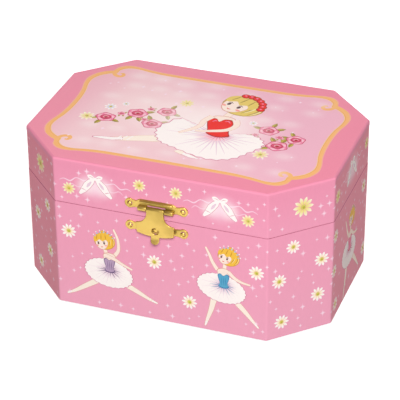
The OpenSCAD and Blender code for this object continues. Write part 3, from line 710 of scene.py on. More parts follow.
def leaf(pen, r, angle):
    c, s = cos_sin(angle)
    outer = [(0.6, 0), (0.95, 0.22), (1.3, 0.18), (1.6, 0), (1.3, -0.2), (0.95, -0.24)]
    inner = [(0.7, 0.02), (0.97, 0.18), (1.28, 0.14), (1.5, 0.01)]
    for shape, ink in ((outer, "leaf_deep"), (inner, "leaf")):
        pen.fill([(r * (c * x - s * y), r * (s * x + c * y)) for x, y in shape], ink)


def ballet_shoes(pen):
    """A pair of pale satin shoes hung by their ribbons from a small bow."""
    pen.glow(0, 0.6, 15, INKS["glint"], 0.75, 0.8)
    for side in (-1, 1):
        pen.glow(side * 6, -0.6, 8.5, INKS["white"], 0.6, 0.95)
    for side in (-1, 1):
        trail = [(side * x, y) for x, y in ((2, 4.4), (7, 3.2), (12, 4.4), (16, 1.6), (20, 2.6), (23, 1.2))]
        pen.stroke(trail, [0.3, 0.9, 0.55, 0.9, 0.55, 0.2], (*INKS["glint"], 0.66))
        trail = [(side * x, y) for x, y in ((1, 4.2), (6, 0.4), (11, -1.6), (15, -0.2), (17.5, -2.2))]
        pen.stroke(trail, [0.3, 0.7, 0.5, 0.7, 0.2], (*INKS["glint"], 0.5))
        body = [(side * x, y) for x, y in ((0.8, 5.6), (2.6, 3.4), (5.0, 0.6), (7.4, -2.8), (10.2, -6.0))]
        pen.stroke(body, [1.8, 4.4, 5.2, 4.2, 1.8], "line")
        pen.stroke(body, [1.3, 3.9, 4.7, 3.7, 1.3], "white")
        pen.stroke([(side * 2.4, 3.4), (side * 4.2, 1.0), (side * 5.4, -0.8)], [0.6, 1.9, 0.5], "shade")
        pen.stroke([(side * 5.6, -3.4), (side * 7.6, -2.6), (side * 9.2, -2.2)], [0.1, 0.35, 0.1], "line")
        pen.blob([(0, 5.4), (side * 2.2, 8.0), (side * 4.8, 7.6), (side * 3.6, 5.4)], "white")
        pen.stroke([(side * 0.4, 5.6), (side * 2.2, 6.7), (side * 3.8, 6.7)], [0.1, 0.3, 0.1], "line")
    pen.ellipse(0, 5.5, 1.0, 1.0, "white")


def limb(pen, path, widths, tone="skin"):
    pen.stroke(path, [w + 0.34 for w in widths], "skin_line")
    pen.stroke(path, widths, tone)


def shoe(pen, ankle, toe):
    """A pale slipper on a pointed foot, with its ribbon crossed at the ankle."""
    dx, dy = toe[0] - ankle[0], toe[1] - ankle[1]
    mid = (ankle[0] + dx * 0.45, ankle[1] + dy * 0.45)
    pen.stroke([mid, toe], [1.5, 0.55], "white", 3)
    size = math.hypot(dx, dy)
    nx, ny = -dy / size, dx / size
    for t in (0.02, 0.22):
        c = (ankle[0] + dx * t, ankle[1] + dy * t)
        lace = [(c[0] - nx * 0.95, c[1] - ny * 0.95), (c[0] + nx * 0.95, c[1] + ny * 0.95)]
        pen.stroke(lace, [0.3, 0.3], "white", 1)


def net_skirt(pen, cx, cy, rx, ry, tilt, waist, folds, shade):
    """A tutu: a scalloped disc of net, with soft shade from the waist and fine folds."""
    c, s = cos_sin(tilt)

    def rim(t, k):
        x, y = rx * k * math.cos(t), ry * k * math.sin(t)
        return (cx + c * x - s * y, cy + s * x + c * y)

    lobes = 26
    edge = [rim(2 * math.pi * k / (2 * lobes), 1.0 if k % 2 else 0.955) for k in range(2 * lobes)]
    pen.fill([rim(2 * math.pi * k / (2 * lobes), 1.03 if k % 2 else 0.985) for k in range(2 * lobes)], "line")
    ox, oy = pen.place(waist)
    reach = min(rx, ry) * pen.scale

    def ink(x, y):
        return mix(shade, INKS["white"], smoothstep(0.15, 0.85, math.hypot(x - ox, (y - oy) * 1.15) / reach))

    pen.fill(edge, ink)
    for ring in (0.8, 0.6, 0.4):
        pen.fill([rim(2 * math.pi * k / 22, ring) for k in range(22)], ink)
    for k in range(folds):
        t = 2 * math.pi * (k + 0.3) / folds
        end = rim(t, 0.72 + 0.12 * math.sin(3.3 * k))
        start = (waist[0] + (end[0] - waist[0]) * 0.16, waist[1] + (end[1] - waist[1]) * 0.16)
        pen.fill(ribbon([start, end], [0.34, 0.05]), (*shade, 0.9))


def head(pen, x, y, r, lean, crown, flowers=False, hair="hair"):
    """A plain storybook head: hair swept into a bun, dots for eyes, a small mouth and a crown."""
    c, s = cos_sin(lean)

    def at(px, py):
        return (x + r * (c * px - s * py), y + r * (s * px + c * py))

    def dot(px, py, rx, ry, ink, sides=10):
        q = at(px, py)
        pen.ellipse(*q, rx * r, ry * r, ink, lean, sides)

    def line(path, widths, ink, steps=3):
        pen.stroke([at(*p) for p in path], [w * r for w in widths], ink, steps)

    dot(0.25, 1.05, 0.42, 0.36, hair + "_deep", 12)
    dot(0.25, 1.07, 0.36, 0.3, hair, 12)
    dot(0.28, 0.12, 1.2, 1.06, hair + "_deep", 20)
    dot(0.28, 0.12, 1.14, 1.0, hair, 20)
    for a in (-0.1, 0.35, 0.75):
        line([(a + 0.35, 0.75), (a + 0.5, 0.1), (a + 0.3, -0.55)], (0.03, 0.1, 0.03), hair + "_deep")
        line([(a + 0.45, 0.7), (a + 0.6, 0.15), (a + 0.42, -0.45)], (0.03, 0.09, 0.03), hair + "_pale")
    face = [
        (-0.78, 0.1), (-0.74, -0.42), (-0.42, -0.82), (-0.1, -0.92), (0.25, -0.8), (0.56, -0.4), (0.62, 0.12),
        (0.2, 0.42), (-0.4, 0.4),
    ]
    pen.blob([at(*p) for p in face], "skin_line", 3)
    pen.blob([at(0.95 * a, 0.95 * b) for a, b in face], "skin", 3)
    fringe = [
        (-0.92, 0.15), (-0.66, 0.02), (-0.3, 0.3), (0.05, 0.06), (0.4, 0.26), (0.72, -0.02), (0.95, 0.3),
        (0.7, 0.85), (0.1, 1.08), (-0.55, 0.9), (-0.9, 0.55),
    ]
    pen.blob([at(*p) for p in fringe], hair, 3)
    for a in (-0.45, 0.0, 0.45):
        line([(a, 0.92), (a * 1.1 - 0.05, 0.55), (a * 1.2 - 0.1, 0.28)], (0.04, 0.09, 0.03), hair + "_deep")
    for px in (-0.46, 0.18):
        dot(px, -0.16, 0.1, 0.15, "dark")
        line([(px - 0.15, -0.02), (px, 0.05), (px + 0.15, -0.01)], (0.02, 0.06, 0.02), "dark", 2)
    dot(-0.6, -0.42, 0.14, 0.09, "blush", 8)
    dot(0.34, -0.44, 0.15, 0.09, "blush", 8)
    line([(-0.26, -0.56), (-0.15, -0.62), (-0.02, -0.56)], (0.03, 0.1, 0.03), "lip", 2)
    for k in range(7):
        a = math.radians((122 if flowers else 148) - (19 if flowers else 22) * k)
        px, py = 0.2 + 1.0 * math.cos(a), 0.2 + 0.92 * math.sin(a)
        if flowers:
            dot(px, py + 0.05, 0.25, 0.23, "red_deep", 9)
            dot(px, py + 0.07, 0.19, 0.17, "red", 8)
            dot(px - 0.03, py + 0.1, 0.07, 0.06, "rose", 6)
        else:
            tip = at(px * 1.28 - 0.03, py * 1.28)
            foot = [at(px - 0.1, py), at(px + 0.1, py - 0.02)]
            pen.fill([foot[0], tip, foot[1]], crown)
            dot(px * 1.28 - 0.03, py * 1.28, 0.07, 0.07, "white", 6)


def dancer(pen, tone, legs, arms, skirt, head_place, lean):
    """A dancer drawn about her waist, in a net skirt and a bodice of the given tone."""
    deep = INKS[tone + "_deep"]
    limb(pen, arms[0], [2.3, 1.9, 1.5, 1.0])
    for hip, knee, ankle, toe in legs:
        limb(pen, [hip, knee, ankle, toe], [3.6, 2.8, 1.9, 0.9], "stocking")
        shoe(pen, ankle, toe)
    net_skirt(pen, *skirt, (0.3, -0.8), 22, INKS["shade"])
    for k in range(16):
        t = 2 * math.pi * k / 16
        far = 1.0 + 0.35 * math.sin(5 * k)
        end = (0.3 + 6.6 * far * math.cos(t), -1.2 + 4.4 * far * math.sin(t))
        start = (0.3 + 1.4 * math.cos(t), -0.9 + 0.9 * math.sin(t))
        pen.fill(ribbon([start, end], [0.8, 0.05]), (*deep, 0.75))
    limb(pen, [(head_place[0] * 0.3, 8), (head_place[0] * 0.75, head_place[1] - 3)], [2.2, 2.0])
    chest = [
        (-3.7, 8.4), (-2.4, 9.8), (0.1, 10.3), (2.8, 9.8), (3.9, 8.2), (3.2, 5.2), (2.4, 3), (-2.2, 3),
        (-3, 5.2),
    ]
    pen.blob(chest, "skin_line", 3)
    pen.blob([(0.93 * x, 0.2 + 0.95 * y) for x, y in chest], "skin", 3)
    bodice = [
        (-3.3, 5.6), (-1.8, 6.6), (0, 5.4), (1.9, 6.7), (3.4, 5.7), (3.0, 2.8), (2.3, 0.4), (3.2, -1.8),
        (0.2, -2.8), (-2.9, -1.8), (-2.1, 0.4), (-2.8, 2.8),
    ]
    pen.blob(bodice, deep, 3)
    pen.blob([(0.88 * x, 0.3 + 0.9 * y) for x, y in bodice], tone, 3)
    for x in (-1.2, 0.2, 1.5):
        pen.stroke([(x, 4.6), (x * 0.8, 2.0), (x * 0.9, -0.8)], [0.1, 0.3, 0.1], deep, 2)
    limb(pen, arms[1], [2.3, 1.9, 1.5, 1.0])
    head(pen, *head_place, 5.3, lean, "sky")


def leaping(pen, tone):
    """Arms wide, one leg reaching each way."""
    dancer(
        pen, tone,
        [
            ((-7, -9), (-15.6, -15), (-21.4, -19), (-26.2, -21.6)),
            ((8.6, -8.2), (17, -12.2), (22.6, -15), (28.2, -17.2)),
        ],
        [[(3.0, 8.8), (5.6, 13), (5.4, 20), (3.0, 26)], [(-2.6, 8.4), (3.2, 6.6), (8.4, 4), (13.6, 1.8)]],
        (-0.6, -3.2, 14.6, 9.2, -8), (-3.8, 16.6), 8,
    )


def pointing(pen, tone):
    """One arm raised, the legs pointed down and out."""
    dancer(
        pen, tone,
        [
            ((-5.4, -10), (-7, -17.6), (-9, -24), (-10.6, -29.4)),
            ((6.6, -9.4), (12.6, -15.6), (16.6, -20.2), (20.4, -24.6)),
        ],
        [
            [(-3.4, 8.6), (-6.2, 13), (-8, 17.4), (-10.2, 22)],
            [(2.8, 8.4), (6.6, 5), (10.6, 3.2), (15.4, 2.4)],
        ],
        (-1.2, -3.0, 14.4, 9.2, -10), (1.4, 17.6), -14,
    )


def scatter(art, taken, u0, u1, z0, z1, count, seed, small=1.1, large=2.3):
    """Stars strewn over a strip, clear of what is there and of each other."""
    rng = random.Random(seed)
    tries = 0
    while count > 0 and tries < 4000:
        tries += 1
        u, z = rng.uniform(u0, u1), rng.uniform(z0, z1)
        if any(math.hypot((u - a) / w, (z - b) / h) < 1 for a, b, w, h in taken):
            continue
        size = rng.uniform(small, large)
        sparkle(art.pen(u, z), size)
        taken.append((u, z, size + 3, size + 3))
        count -= 1


# What is printed on each panel, from its middle: daisies as (across, up, size), then figures
SIDE_DAISIES = {
    "front": [(-53.9, 48.5, 4.6), (-3.5, 38.5, 4.6), (16.9, 16.6, 4.6), (55.4, 43.6, 4.6)],
    "front_right": [
        (-4.6, 57.4, 4.4), (-12.8, 37.4, 4.6), (13.0, 44.8, 4.6), (11.2, 22.6, 4.6), (-11.0, 10.6, 4.6),
    ],
    "right": [(-30, 55, 4.4), (26, 56, 4.4), (-27, 9, 4.4), (30, 12, 4.6), (-31, 33, 4.2)],
    "back_right": [(-8, 54, 4.4), (9, 38, 4.6), (-9, 24, 4.6), (8, 9, 4.4)],
    "back": [(-54, 18, 4.6), (-3, 44, 4.6), (20, 52, 4.4), (54, 22, 4.6), (2, 12, 4.4)],
    "back_left": [(8, 56, 4.4), (-9, 42, 4.6), (9, 26, 4.6), (-8, 10, 4.4)],
    "left": [(-28, 53, 4.4), (29, 55, 4.4), (-30, 12, 4.6), (27, 9, 4.4), (31, 33, 4.2)],
    "front_left": [(8, 57, 4.4), (-8, 44, 4.6), (9, 28, 4.6), (-7, 12, 4.6)],
}
SIDE_DANCERS = {
    "front": [(-30.2, 28.6, leaping, "lilac"), (36.6, 32.6, pointing, "blue")],
    "right": [(0, 31, pointing, "rose")],
    "back": [(-28, 31, pointing, "rose"), (30, 29, leaping, "blue")],
    "left": [(0, 31, leaping, "lilac")],
}
LID_DAISIES = {
    "front": [(-52.7, 76.0, 3.9), (-11.4, 85.4, 3.9), (9.6, 84.6, 3.9), (50.4, 75.4, 3.9)],
    "front_right": [(1.0, 80.8, 6.2)],
    "right": [(-28, 79, 4.4), (29, 82, 3.9)],
    "back_right": [(0, 80, 6.0)],
    "back": [(-52, 76, 3.9), (0, 82, 3.9), (52, 77, 3.9)],
    "back_left": [(0, 80, 6.0)],
    "left": [(-29, 82, 3.9), (28, 79, 4.4)],
    "front_left": [(0, 80, 6.0)],
}
LID_SHOES = {
    "front": [(-37, 79.4), (34.6, 79.4)],
    "right": [(0, 80)],
    "back": [(-26, 79.4), (26, 79.4)],
    "left": [(0, 80)],
}


def print_base():
    art = Art()
    taken = []
    for panel in outline.PANELS:
        for mid in outline.middles(panel):
            for k, (x, z, r) in enumerate(SIDE_DAISIES[panel]):
                daisy(art.pen(mid + x, z), r, "cream", 10, 17 * k)
                taken.append((mid + x, z, r + 2, r + 2))
            for x, z, pose, tone in SIDE_DANCERS.get(panel, []):
                pose(art.pen(mid + x, z), tone)
                taken += [(mid + x, z - 4, 17, 11), (mid + x, z + 14, 8, 16)]
                taken += [(mid + x + q * 17, z - 13.5, 10, 8) for q in (-1, 1)]
    scatter(art, taken, 4 - outline.length / 2, outline.length / 2 - 4, 4, 63, 330, 11)
    return art


def print_lid_side():
    art = Art()
    taken = []
    for panel in outline.PANELS:
        for mid in outline.middles(panel):
            for x, z in LID_SHOES.get(panel, []):
                ballet_shoes(art.pen(mid + x, z, 0.92))
                taken += [(mid + x, z, 12, 9), (mid + x - 14, z + 1, 8, 4), (mid + x + 14, z + 1, 8, 4)]
            for k, (x, z, r) in enumerate(LID_DAISIES[panel]):
                daisy(art.pen(mid + x, z), r, "butter", 10, 13 * k, 1.3)
                taken.append((mid + x, z, r + 2, r + 2))
    scatter(art, taken, 4 - outline.length / 2, outline.length / 2 - 4, 69.5, 89, 130, 5)
    return art


def painted_shade_weight(u):
    """0 on the lit front and its right-hand cut corner, 1 on the other panels, whose redder, deeper pink is
    painted shade.
    """
    low, high = outline.at_panel(0, -1), outline.at_panel(1, 1)
    return max(smoothstep(low, low - 3, u), smoothstep(high, high + 3, u))


def side_ink(tones, z0, z1):
    """The ground of the sides between two heights: the front's low and high tones, then the painted shade
    tones of the other panels.
    """
    front_low, front_high, painted_shade_low, painted_shade_high = (linear(code) for code in tones.split())

    def ink(u, z):
        rise = smoothstep(z0, z1, z)
        return mix(mix(front_low, front_high, rise), mix(painted_shade_low, painted_shade_high, rise), painted_shade_weight(u))

    return ink


# The last two tones of each are painted shade: a redder, deeper pink for the panels beyond the front.
base_ink = side_ink("#f0abc6 #efa3c0 #f39fb4 #f19ab0", 0, 66)
lid_ink = side_ink("#efa3c0 #ec9ab8 #f19ab0 #ef95ac", 66, 94)
foot, rim = case_low.z / MM, case_high.z / MM
base_print = wrap_round("base_print", print_base(), foot, rim, 0, 0.3, base_ink)
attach(base_print, "case")
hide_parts("base_wrap")
foot, rim = lid_low.z / MM, 92.6
lid_side_print = wrap_round("lid_side_print", print_lid_side(), foot, rim, 0.14, 0.2, lid_ink)
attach(lid_side_print, "lid")
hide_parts("lid_wrap")


# ---- the lid's top

TOP_Z = lid_high.z / MM
FILLET = 1.2
CARTOUCHE = [
    (0, 49.2), (20, 49.4), (38, 49.6), (49, 50.8), (57, 52.3), (63, 51.4), (66.8, 47.6), (67.2, 43.6),
    (71.4, 41.2), (76, 37), (78.6, 30.6), (78.2, 23.6), (76.6, 16.6), (75.6, 8), (75.4, 0),
]
CURL = [(66.9, 46.2), (67.3, 42.6), (65.8, 39.2), (62.6, 38.0), (60.8, 39.8), (61.8, 42.0), (63.4, 41.6)]
HOOK = [(76.2, 36.6), (72.2, 40.6), (68.6, 42.9), (65.6, 43.6)]
ROSES = [
    (-51.4, -10.8, 6.2), (-36, -1, 6.4), (-20.7, 5.7, 6.0), (-23.9, -10.1, 6.4),
    (40.3, 3.4, 6.2), (49.9, -11.8, 6.6), (57.7, -2, 5.8),
]
BUDS = [(-44.5, -4.2, 2.4), (-29.6, -6.8, 2.2), (-30.4, 6, 2.2), (48.4, -2.2, 2.4), (34.6, -3.4, 2.0)]
TOP_DAISIES = [
    (-62, -13, 4.8, "butter", 9, 10, 1.1),
    (-13.6, 19.3, 4.2, "butter", 9, 0, 2.2),
    (44.2, -23.5, 4.8, "butter", 9, 25, 1.2),
    (-53.4, 1.6, 3.8, "sky", 8, 0),
    (-46.2, 7.4, 2.4, "sky", 8, 20),
    (29.5, 9, 2.8, "sky", 8, 10),
]
TUTU = [
    (-17, -20.8), (-18.4, -12), (-11.3, 0.6), (-3, -1.6), (6, -5.4), (14, -9.6), (22, -7), (31, -4.6),
    (39, -7.6), (42, -14.5), (37, -24), (31, -32.5), (20.6, -37.1), (9, -35.4), (-3, -31), (-12, -27.5),
]


def mirrored(quarter):
    """A quarter of a path, from the middle of the top to the middle of the right, drawn all round."""
    right = quarter + [(x, -y) for x, y in quarter[-2:0:-1]]
    return right + [(-x, -y) for x, y in quarter] + [(-x, y) for x, y in quarter[-2:0:-1]]


def top_ink(x, _):
    return mix(linear("#ee94ad"), linear("#ee8ea9"), smoothstep(-60, 60, x))


def shaded_fold_ink(drop):
    """The top sheet's pink over the lid's edge, from where it leaves the top down to the sides' pink. Where
    it starts, on the rounded edge, it is painted shade: darker than both pinks, to dull the light the edge
    catches.
    """
    return mix(linear("#e58fab"), linear("#ed9bb9"), smoothstep(0.3, 1.1, drop))


def field_ink(x, y):
    """The cartouche's own ground: pale in the middle and to the left, pinker to the right."""
    pale = mix(linear("#f4d3da"), linear("#efb9ce"), smoothstep(-50, 60, x + 0.4 * y))
    pale = mix(linear("#efbccb"), pale, smoothstep(-80, -48, x - 0.2 * y))
    light = 1 - smoothstep(0.1, 1.0, math.hypot((x + 6) / 66, (y - 4) / 40))
    return mix(pale, linear("#fff6f4"), 0.6 * light)


def sitting(pen):
    """A dancer seated in a wide net skirt, with a red heart for a bodice and a crown of red flowers."""
    pen.glow(6, -4, 46, INKS["white"], 0.7, 0.72, (1, 0.84, 0.68, 0.52, 0.36, 0.2))
    limb(pen, [(0, -33), (6, -36.6), (12, -38.4)], [5.4, 3.6, 1.8], "stocking")
    pen.stroke([(4, -35.8), (9, -37.8), (14, -39)], [3.4, 3.4, 0.8], "line")
    pen.stroke([(4, -35.8), (9, -37.8), (14, -39)], [2.8, 2.8, 0.4], "white")
    leg = [(-8, -20), (-16, -25), (-24, -27.6), (-33, -31), (-41, -33.2)]
    limb(pen, leg, [9, 7.2, 6.2, 4.6, 2.8], "stocking")
    pen.stroke([(-33, -31), (-39, -33), (-45, -33.6), (-50, -34.4)], [3.0, 3.8, 3.0, 1.2], "line")
    pen.stroke([(-33.4, -31), (-39, -33), (-45, -33.6), (-49.4, -34.3)], [2.4, 3.2, 2.4, 0.6], "white")
    for k in range(3):
        x = -28.6 - 3.1 * k
        pen.stroke([(x, -26.6 - 0.9 * k), (x - 1.8, -32.2 - 0.4 * k)], [0.7, 0.7], "white", 1)
    ring = smooth(TUTU, True, 4)
    frill = []
    for k, (x, y) in enumerate(ring):
        grow = 1.035 if k % 2 else 0.985
        frill.append((12 + (x - 12) * grow, -17 + (y + 17) * grow))
    pen.fill([(12 + (x - 12) * 1.02, -17 + (y + 17) * 1.03) for x, y in frill], "line")

    def net(x, y):
        d = math.hypot((x - 14) / 30, (y + 13) / 22)
        return mix(INKS["rose_pale"], INKS["white"], smoothstep(0.05, 0.42, d))

    pen.fill(frill, net)
    for shrink in (0.82, 0.6, 0.38):
        pen.fill([(14 + (x - 14) * shrink, -14 + (y + 14) * shrink) for x, y in ring[::2]], net)
    for k in range(30):
        x, y = ring[(2 * k + 1) % len(ring)]
        far = 0.6 + 0.3 * math.sin(5.1 * k) ** 2
        a = (15 + (x - 15) * 0.2, -12 + (y + 12) * 0.2)
        b = (15 + (x - 15) * far, -12 + (y + 12) * far)
        pen.fill(ribbon([a, b], [0.9, 0.15]), (*INKS["shade"], 0.95))
    for k in range(11):
        a = math.radians(190 + 17 * k)
        end = (15.5 + 9 * math.cos(a), -10 + 7 * math.sin(a))
        start = (15.5 + 2 * math.cos(a), -10 + 1.4 * math.sin(a))
        pen.fill(ribbon([start, end], [1.3, 0.1]), (*INKS["rose"], 0.8))
    limb(pen, [(12.4, 8.6), (13.2, 13), (14.2, 17.4)], [4.6, 3.8, 4.2])
    chest = [
        (4.6, 7.4), (6.6, 10.4), (10.4, 11.6), (15, 11.6), (18.6, 10), (20, 7), (18.8, 2), (18, -4),
        (13.5, -6), (9, -2), (6.4, 2),
    ]
    pen.blob(chest, "skin_line", 3)
    pen.blob([(12.4 + (x - 12.4) * 0.95, 3 + (y - 3) * 0.95) for x, y in chest], "skin", 3)
    heart = [
        (15, -13), (8.2, -10.4), (7.4, -6.0), (5.4, -0.6), (4.2, 4.0), (5.6, 7.2), (8.6, 7.4), (10.8, 4.6),
        (13.2, 8.0), (17.2, 8.2), (19.6, 4.8), (19.4, -1.2), (20.2, -6.4), (21.6, -10.6),
    ]
    pen.blob(heart, "red_deep", 3)
    pen.blob([(12 + (x - 12) * 0.9, -1.6 + (y + 1.6) * 0.92) for x, y in heart], "red", 3)
    pen.stroke([(7.2, 3.4), (8.4, 5.2), (9.6, 4.6)], [0.2, 1.0, 0.2], "rose", 3)
    pen.stroke([(13.8, 5.6), (15.8, 6.3), (17.4, 4.6)], [0.2, 1.0, 0.2], "rose", 3)
    limb(pen, [(19.2, 9.2), (21.4, 3), (18, -3.4), (9.4, -7.4), (1.4, -9.6)], [4.0, 3.5, 3.1, 2.4, 1.4])
    limb(pen, [(5.4, 9.4), (2.6, 3), (2.2, -3.6), (-1.8, -9.6), (-6.6, -14.6)], [4.0, 3.4, 3.0, 2.3, 1.3])
    head(pen, 14.6, 26.4, 11, -22, "red", flowers=True, hair="blonde")


def print_top():
    art = Art()
    field = smooth(mirrored(CARTOUCHE), True, 3)
    page = art.pen(0, 0)
    page.fill([(x * 1.014, y * 1.018) for x, y in field], (*linear("#f7c987"), 0.6))
    page.fill([(x * 1.005, y * 1.007) for x, y in field], "gold")
    page.fill([(x * 0.981, y * 0.972) for x, y in field], "gold_deep")
    page.fill([(x * 0.976, y * 0.965) for x, y in field], (*linear("#f9dcae"), 0.75))
    page.fill([(x * 0.97, y * 0.956) for x, y in field], field_ink)
    for sx, sy in ((1, 1), (1, -1), (-1, -1), (-1, 1)):
        for path, widths in ((CURL, [2.2, 2.6, 2.6, 2.2, 0.8]), (HOOK, [2.0, 2.4, 1.9, 0.6])):
            page.stroke([(sx * x, sy * y) for x, y in path], widths, "gold", 4)
    for x in range(-54, 60, 18):
        for y in (-40, -22, 14, 30, 42):
            px, py = x + 5 * math.sin(x + y), y + 2 * math.cos(3 * x)
            page.glow(px, py, 9, INKS["white"], 0.28, 0.7, (1, 0.6, 0.25))
    for k, (x, y, r) in enumerate(ROSES):
        rose(art.pen(x, y), r, 47 * k)
    for x, y, r in BUDS:
        rose(art.pen(x, y), r, 31 * x)
    for x, y, *look in TOP_DAISIES:
        daisy(art.pen(x, y), *look)
    sitting(page)
    figure = [(12, -16, 33, 22), (16, 26, 15, 16), (-34, -30, 20, 7)]
    taken = [(x, y, r + 3, r + 3) for x, y, r in ROSES] + figure
    scatter(art, taken, -66, 66, -42, 42, 34, 3, 0.9, 2.0)
    return art


def top_sheet(name, art, base, fold=2.0, thick=0.12):
    """The printed sheet on the lid, turned down over its edge."""
    steps = outline.breaks + [outline.at_panel(k, f) for k in range(8) for f in (-0.75, -0.25, 0.25, 0.75)]
    steps = sorted(u % outline.length for u in steps)
    ring = [outline.at(u, FILLET)[0] for u in steps]
    flat, faces, inks = cut_sheet(art, [tuple(p) for p in ring], base, (), 6.0)
    points = [Vector((p[0], p[1], TOP_Z)) for p in flat]
    normals = [Vector((0, 0, 1))] * len(points)
    polys = [tuple(f) for f in faces]
    last = ordered_border(faces)
    spots = [min(steps, key=lambda u: (outline.at(u, FILLET)[0] - flat[k]).length) for k in last]

    def add_ring(inset, z, tilt, flip=1):
        """Adds a ring of points at a height and joins the last one to it."""
        nonlocal last
        fresh = list(range(len(points), len(points) + len(spots)))
        for u in spots:
            p, n = outline.at(u, inset)
            points.append(Vector((p.x, p.y, z)))
            out = Vector((n.x, n.y, 0)) * math.cos(tilt) + Vector((0, 0, math.sin(tilt)))
            normals.append(out * flip)
        for k in range(len(last)):
            j = (k + 1) % len(last)
            polys.append((last[k], fresh[k], fresh[j], last[j]))
        last = fresh

    for k in range(1, 6):
        a = math.radians(90 - 18 * k)
        add_ring(FILLET * (1 - math.cos(a)), TOP_Z - FILLET * (1 - math.sin(a)), a)
    add_ring(0, TOP_Z - FILLET - fold, 0)
    curved = len(polys)
    add_ring(thick, TOP_Z - FILLET - fold, 0, -1)
    add_ring(thick, TOP_Z - FILLET, 0, -1)
    add_ring(FILLET, TOP_Z - thick, math.pi / 2, -1)
    polys.append(tuple(reversed(last)))
    return print_piece(name, points, polys, inks, lambda z: shaded_fold_ink(TOP_Z - z), normals, curved)


lid_top_print = top_sheet("lid_top_print", print_top(), top_ink)
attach(lid_top_print, "lid")
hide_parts("lid_wrap")


# ---- solid shapes, in millimetres


def pulled_in(ring, d):
    """A ring of points moved to its left by d: inwards where it runs counter-clockwise."""
    out = []
    for k, (x, y) in enumerate(ring):
        (ax, ay), (bx, by) = ring[k - 1], ring[(k + 1) % len(ring)]
        before, after = math.hypot(x - ax, y - ay), math.hypot(bx - x, by - y)
        nx = (ay - y) / before + (y - by) / after
        ny = (x - ax) / before + (bx - x) / after
        reach = 2 * d / max(nx * nx + ny * ny, 1.2)
        out.append((x + nx * reach, y + ny * reach))
    return out


def round_points(x, y, r, sides=28):
    turns = round_turn(sides)
    return [(x + r * math.cos(a), y + r * math.sin(a)) for a in turns]


def rolled_edge(thick, edge):
    """How far in and how high the edge of a stamped sheet goes, from its back to its front."""
    profile = [(0, 0), (0, thick - edge)]
    return profile + [(edge * (1 - c), thick - edge * (1 - s)) for c, s in map(cos_sin, (30, 60, 90))]


def stamped(ring, holes=(), thick=0.7, edge=0.25, bulge=None, profile=None):
    """A sheet shape in the XY plane, flat behind, with its front edges rolled over or bevelled."""
    profile = profile or rolled_edge(thick, edge)
    rings = [list(ring)] + [h[::-1] for h in holes]
    points, faces, back, front = [], [], [], []
    for r in rings:
        n = len(r)
        first = len(points)
        for inset, z in profile:
            for x, y in pulled_in(r, inset) if inset else r:
                points.append(Vector((x, y, z + (bulge(x, y) if bulge else 0))))
        for s in range(len(profile) - 1):
            faces += band(first + s * n, first + (s + 1) * n, n)
        back.append(list(range(first, first + n)))
        front.append(list(range(first + (len(profile) - 1) * n, first + len(profile) * n)))
    for loops, step in ((front, 1), (back, -1)):
        order = [k for loop in loops for k in loop]
        slots, at = [], 0
        for loop in loops:
            slots.append(list(range(at, at + len(loop)))[:: 1 if at == 0 else -1])
            at += len(loop)
        flat = [points[k].xy for k in order]
        _, _, tris, origin, _, owners = delaunay_2d_cdt(flat, [], slots, 1, 1e-7, True)
        tris = [tri for tri, owner in zip(tris, owners) if list(owner) == [0]]
        faces += [tuple(order[origin[k][0]] for k in tri)[::step] for tri in tris]
    return points, faces


def loft(rings):
    """A closed tube through rings of points, with the same number in each."""
    n = len(rings[0])
    last = (len(rings) - 1) * n
    faces = [face for a in range(0, last, n) for face in band(a, a + n, n)]
    faces += [tuple(range(n))[::-1], tuple(range(last, last + n))]
    return [Vector(p) for ring in rings for p in ring], faces


def turned(profile, sides=32):
    """A shape turned about Z. Its profile is given as radius and height."""
    return loft([[(x, y, z) for x, y in round_points(0, 0, r, sides)] for r, z in profile])


def rounded_rod(r, length, edge=0.3, sides=28):
    """A rod along Z with rounded ends."""
    rise = [(r - edge * (1 - s), edge * (1 - c)) for c, s in map(cos_sin, (0, 30, 60, 90))]
    return turned(rise + [(q, length - z) for q, z in rise[::-1]], sides)


def wire(path, radii, sides=10):
    """A round wire or limb along a path, whose radius runs through the radii given."""
    rings = []
    side = None
    for i, p in enumerate(path):
        a, b = Vector(path[max(0, i - 1)]), Vector(path[min(len(path) - 1, i + 1)])
        along = (b - a).normalized()
        if side is None:
            side = along.orthogonal()
        side = (side - along * side.dot(along)).normalized()
        up = along.cross(side)
        r = part_way(radii, i / (len(path) - 1))
        rings.append([Vector(p) + side * x + up * y for x, y in round_points(0, 0, r, sides)])
    return loft(rings)


def put(shape, matrix):
    return [matrix @ p for p in shape[0]], shape[1]


def move(x, y, z):
    return Matrix.Translation((x, y, z))


def turn(axis, degrees):
    return Matrix.Rotation(math.radians(degrees), 4, axis)


FACING_FRONT = turn("X", 90)
FACING_BACK = turn("Z", 180) @ turn("X", 90)
ALONG_X = turn("Y", 90)


def joined(name, shapes):
    """One mesh from closed shapes, with its faces turned outwards."""
    points, faces = [], []
    for shape_points, shape_faces in shapes:
        start = len(points)
        points += [p * MM for p in shape_points]
        faces += [tuple(start + k for k in f) for f in shape_faces]
    mesh = bpy.data.meshes.new(name)
    mesh.from_pydata(points, [], faces)
    work = bmesh.new()
    work.from_mesh(mesh)
    bmesh.ops.recalc_face_normals(work, faces=work.faces)
    work.to_mesh(mesh)
    work.free()
    return mesh


def piece(name, shapes, look, body, nodes, sharp=42):
    """One piece of the object from closed shapes. It stands for CAD nodes and rides their body."""
    mesh = joined(name, shapes)
    rounded(mesh)
    mesh.set_sharp_from_angle(angle=math.radians(sharp))
    mesh.materials.append(M[look])
    obj = link(name, mesh)
    if body:
        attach(obj, body)
    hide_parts(*nodes)
    return obj


def size_of(node):
    """A CAD node's lowest and highest corners, in millimetres."""
    low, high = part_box(node)
    return low / MM, high / MM


# ---- the hasp

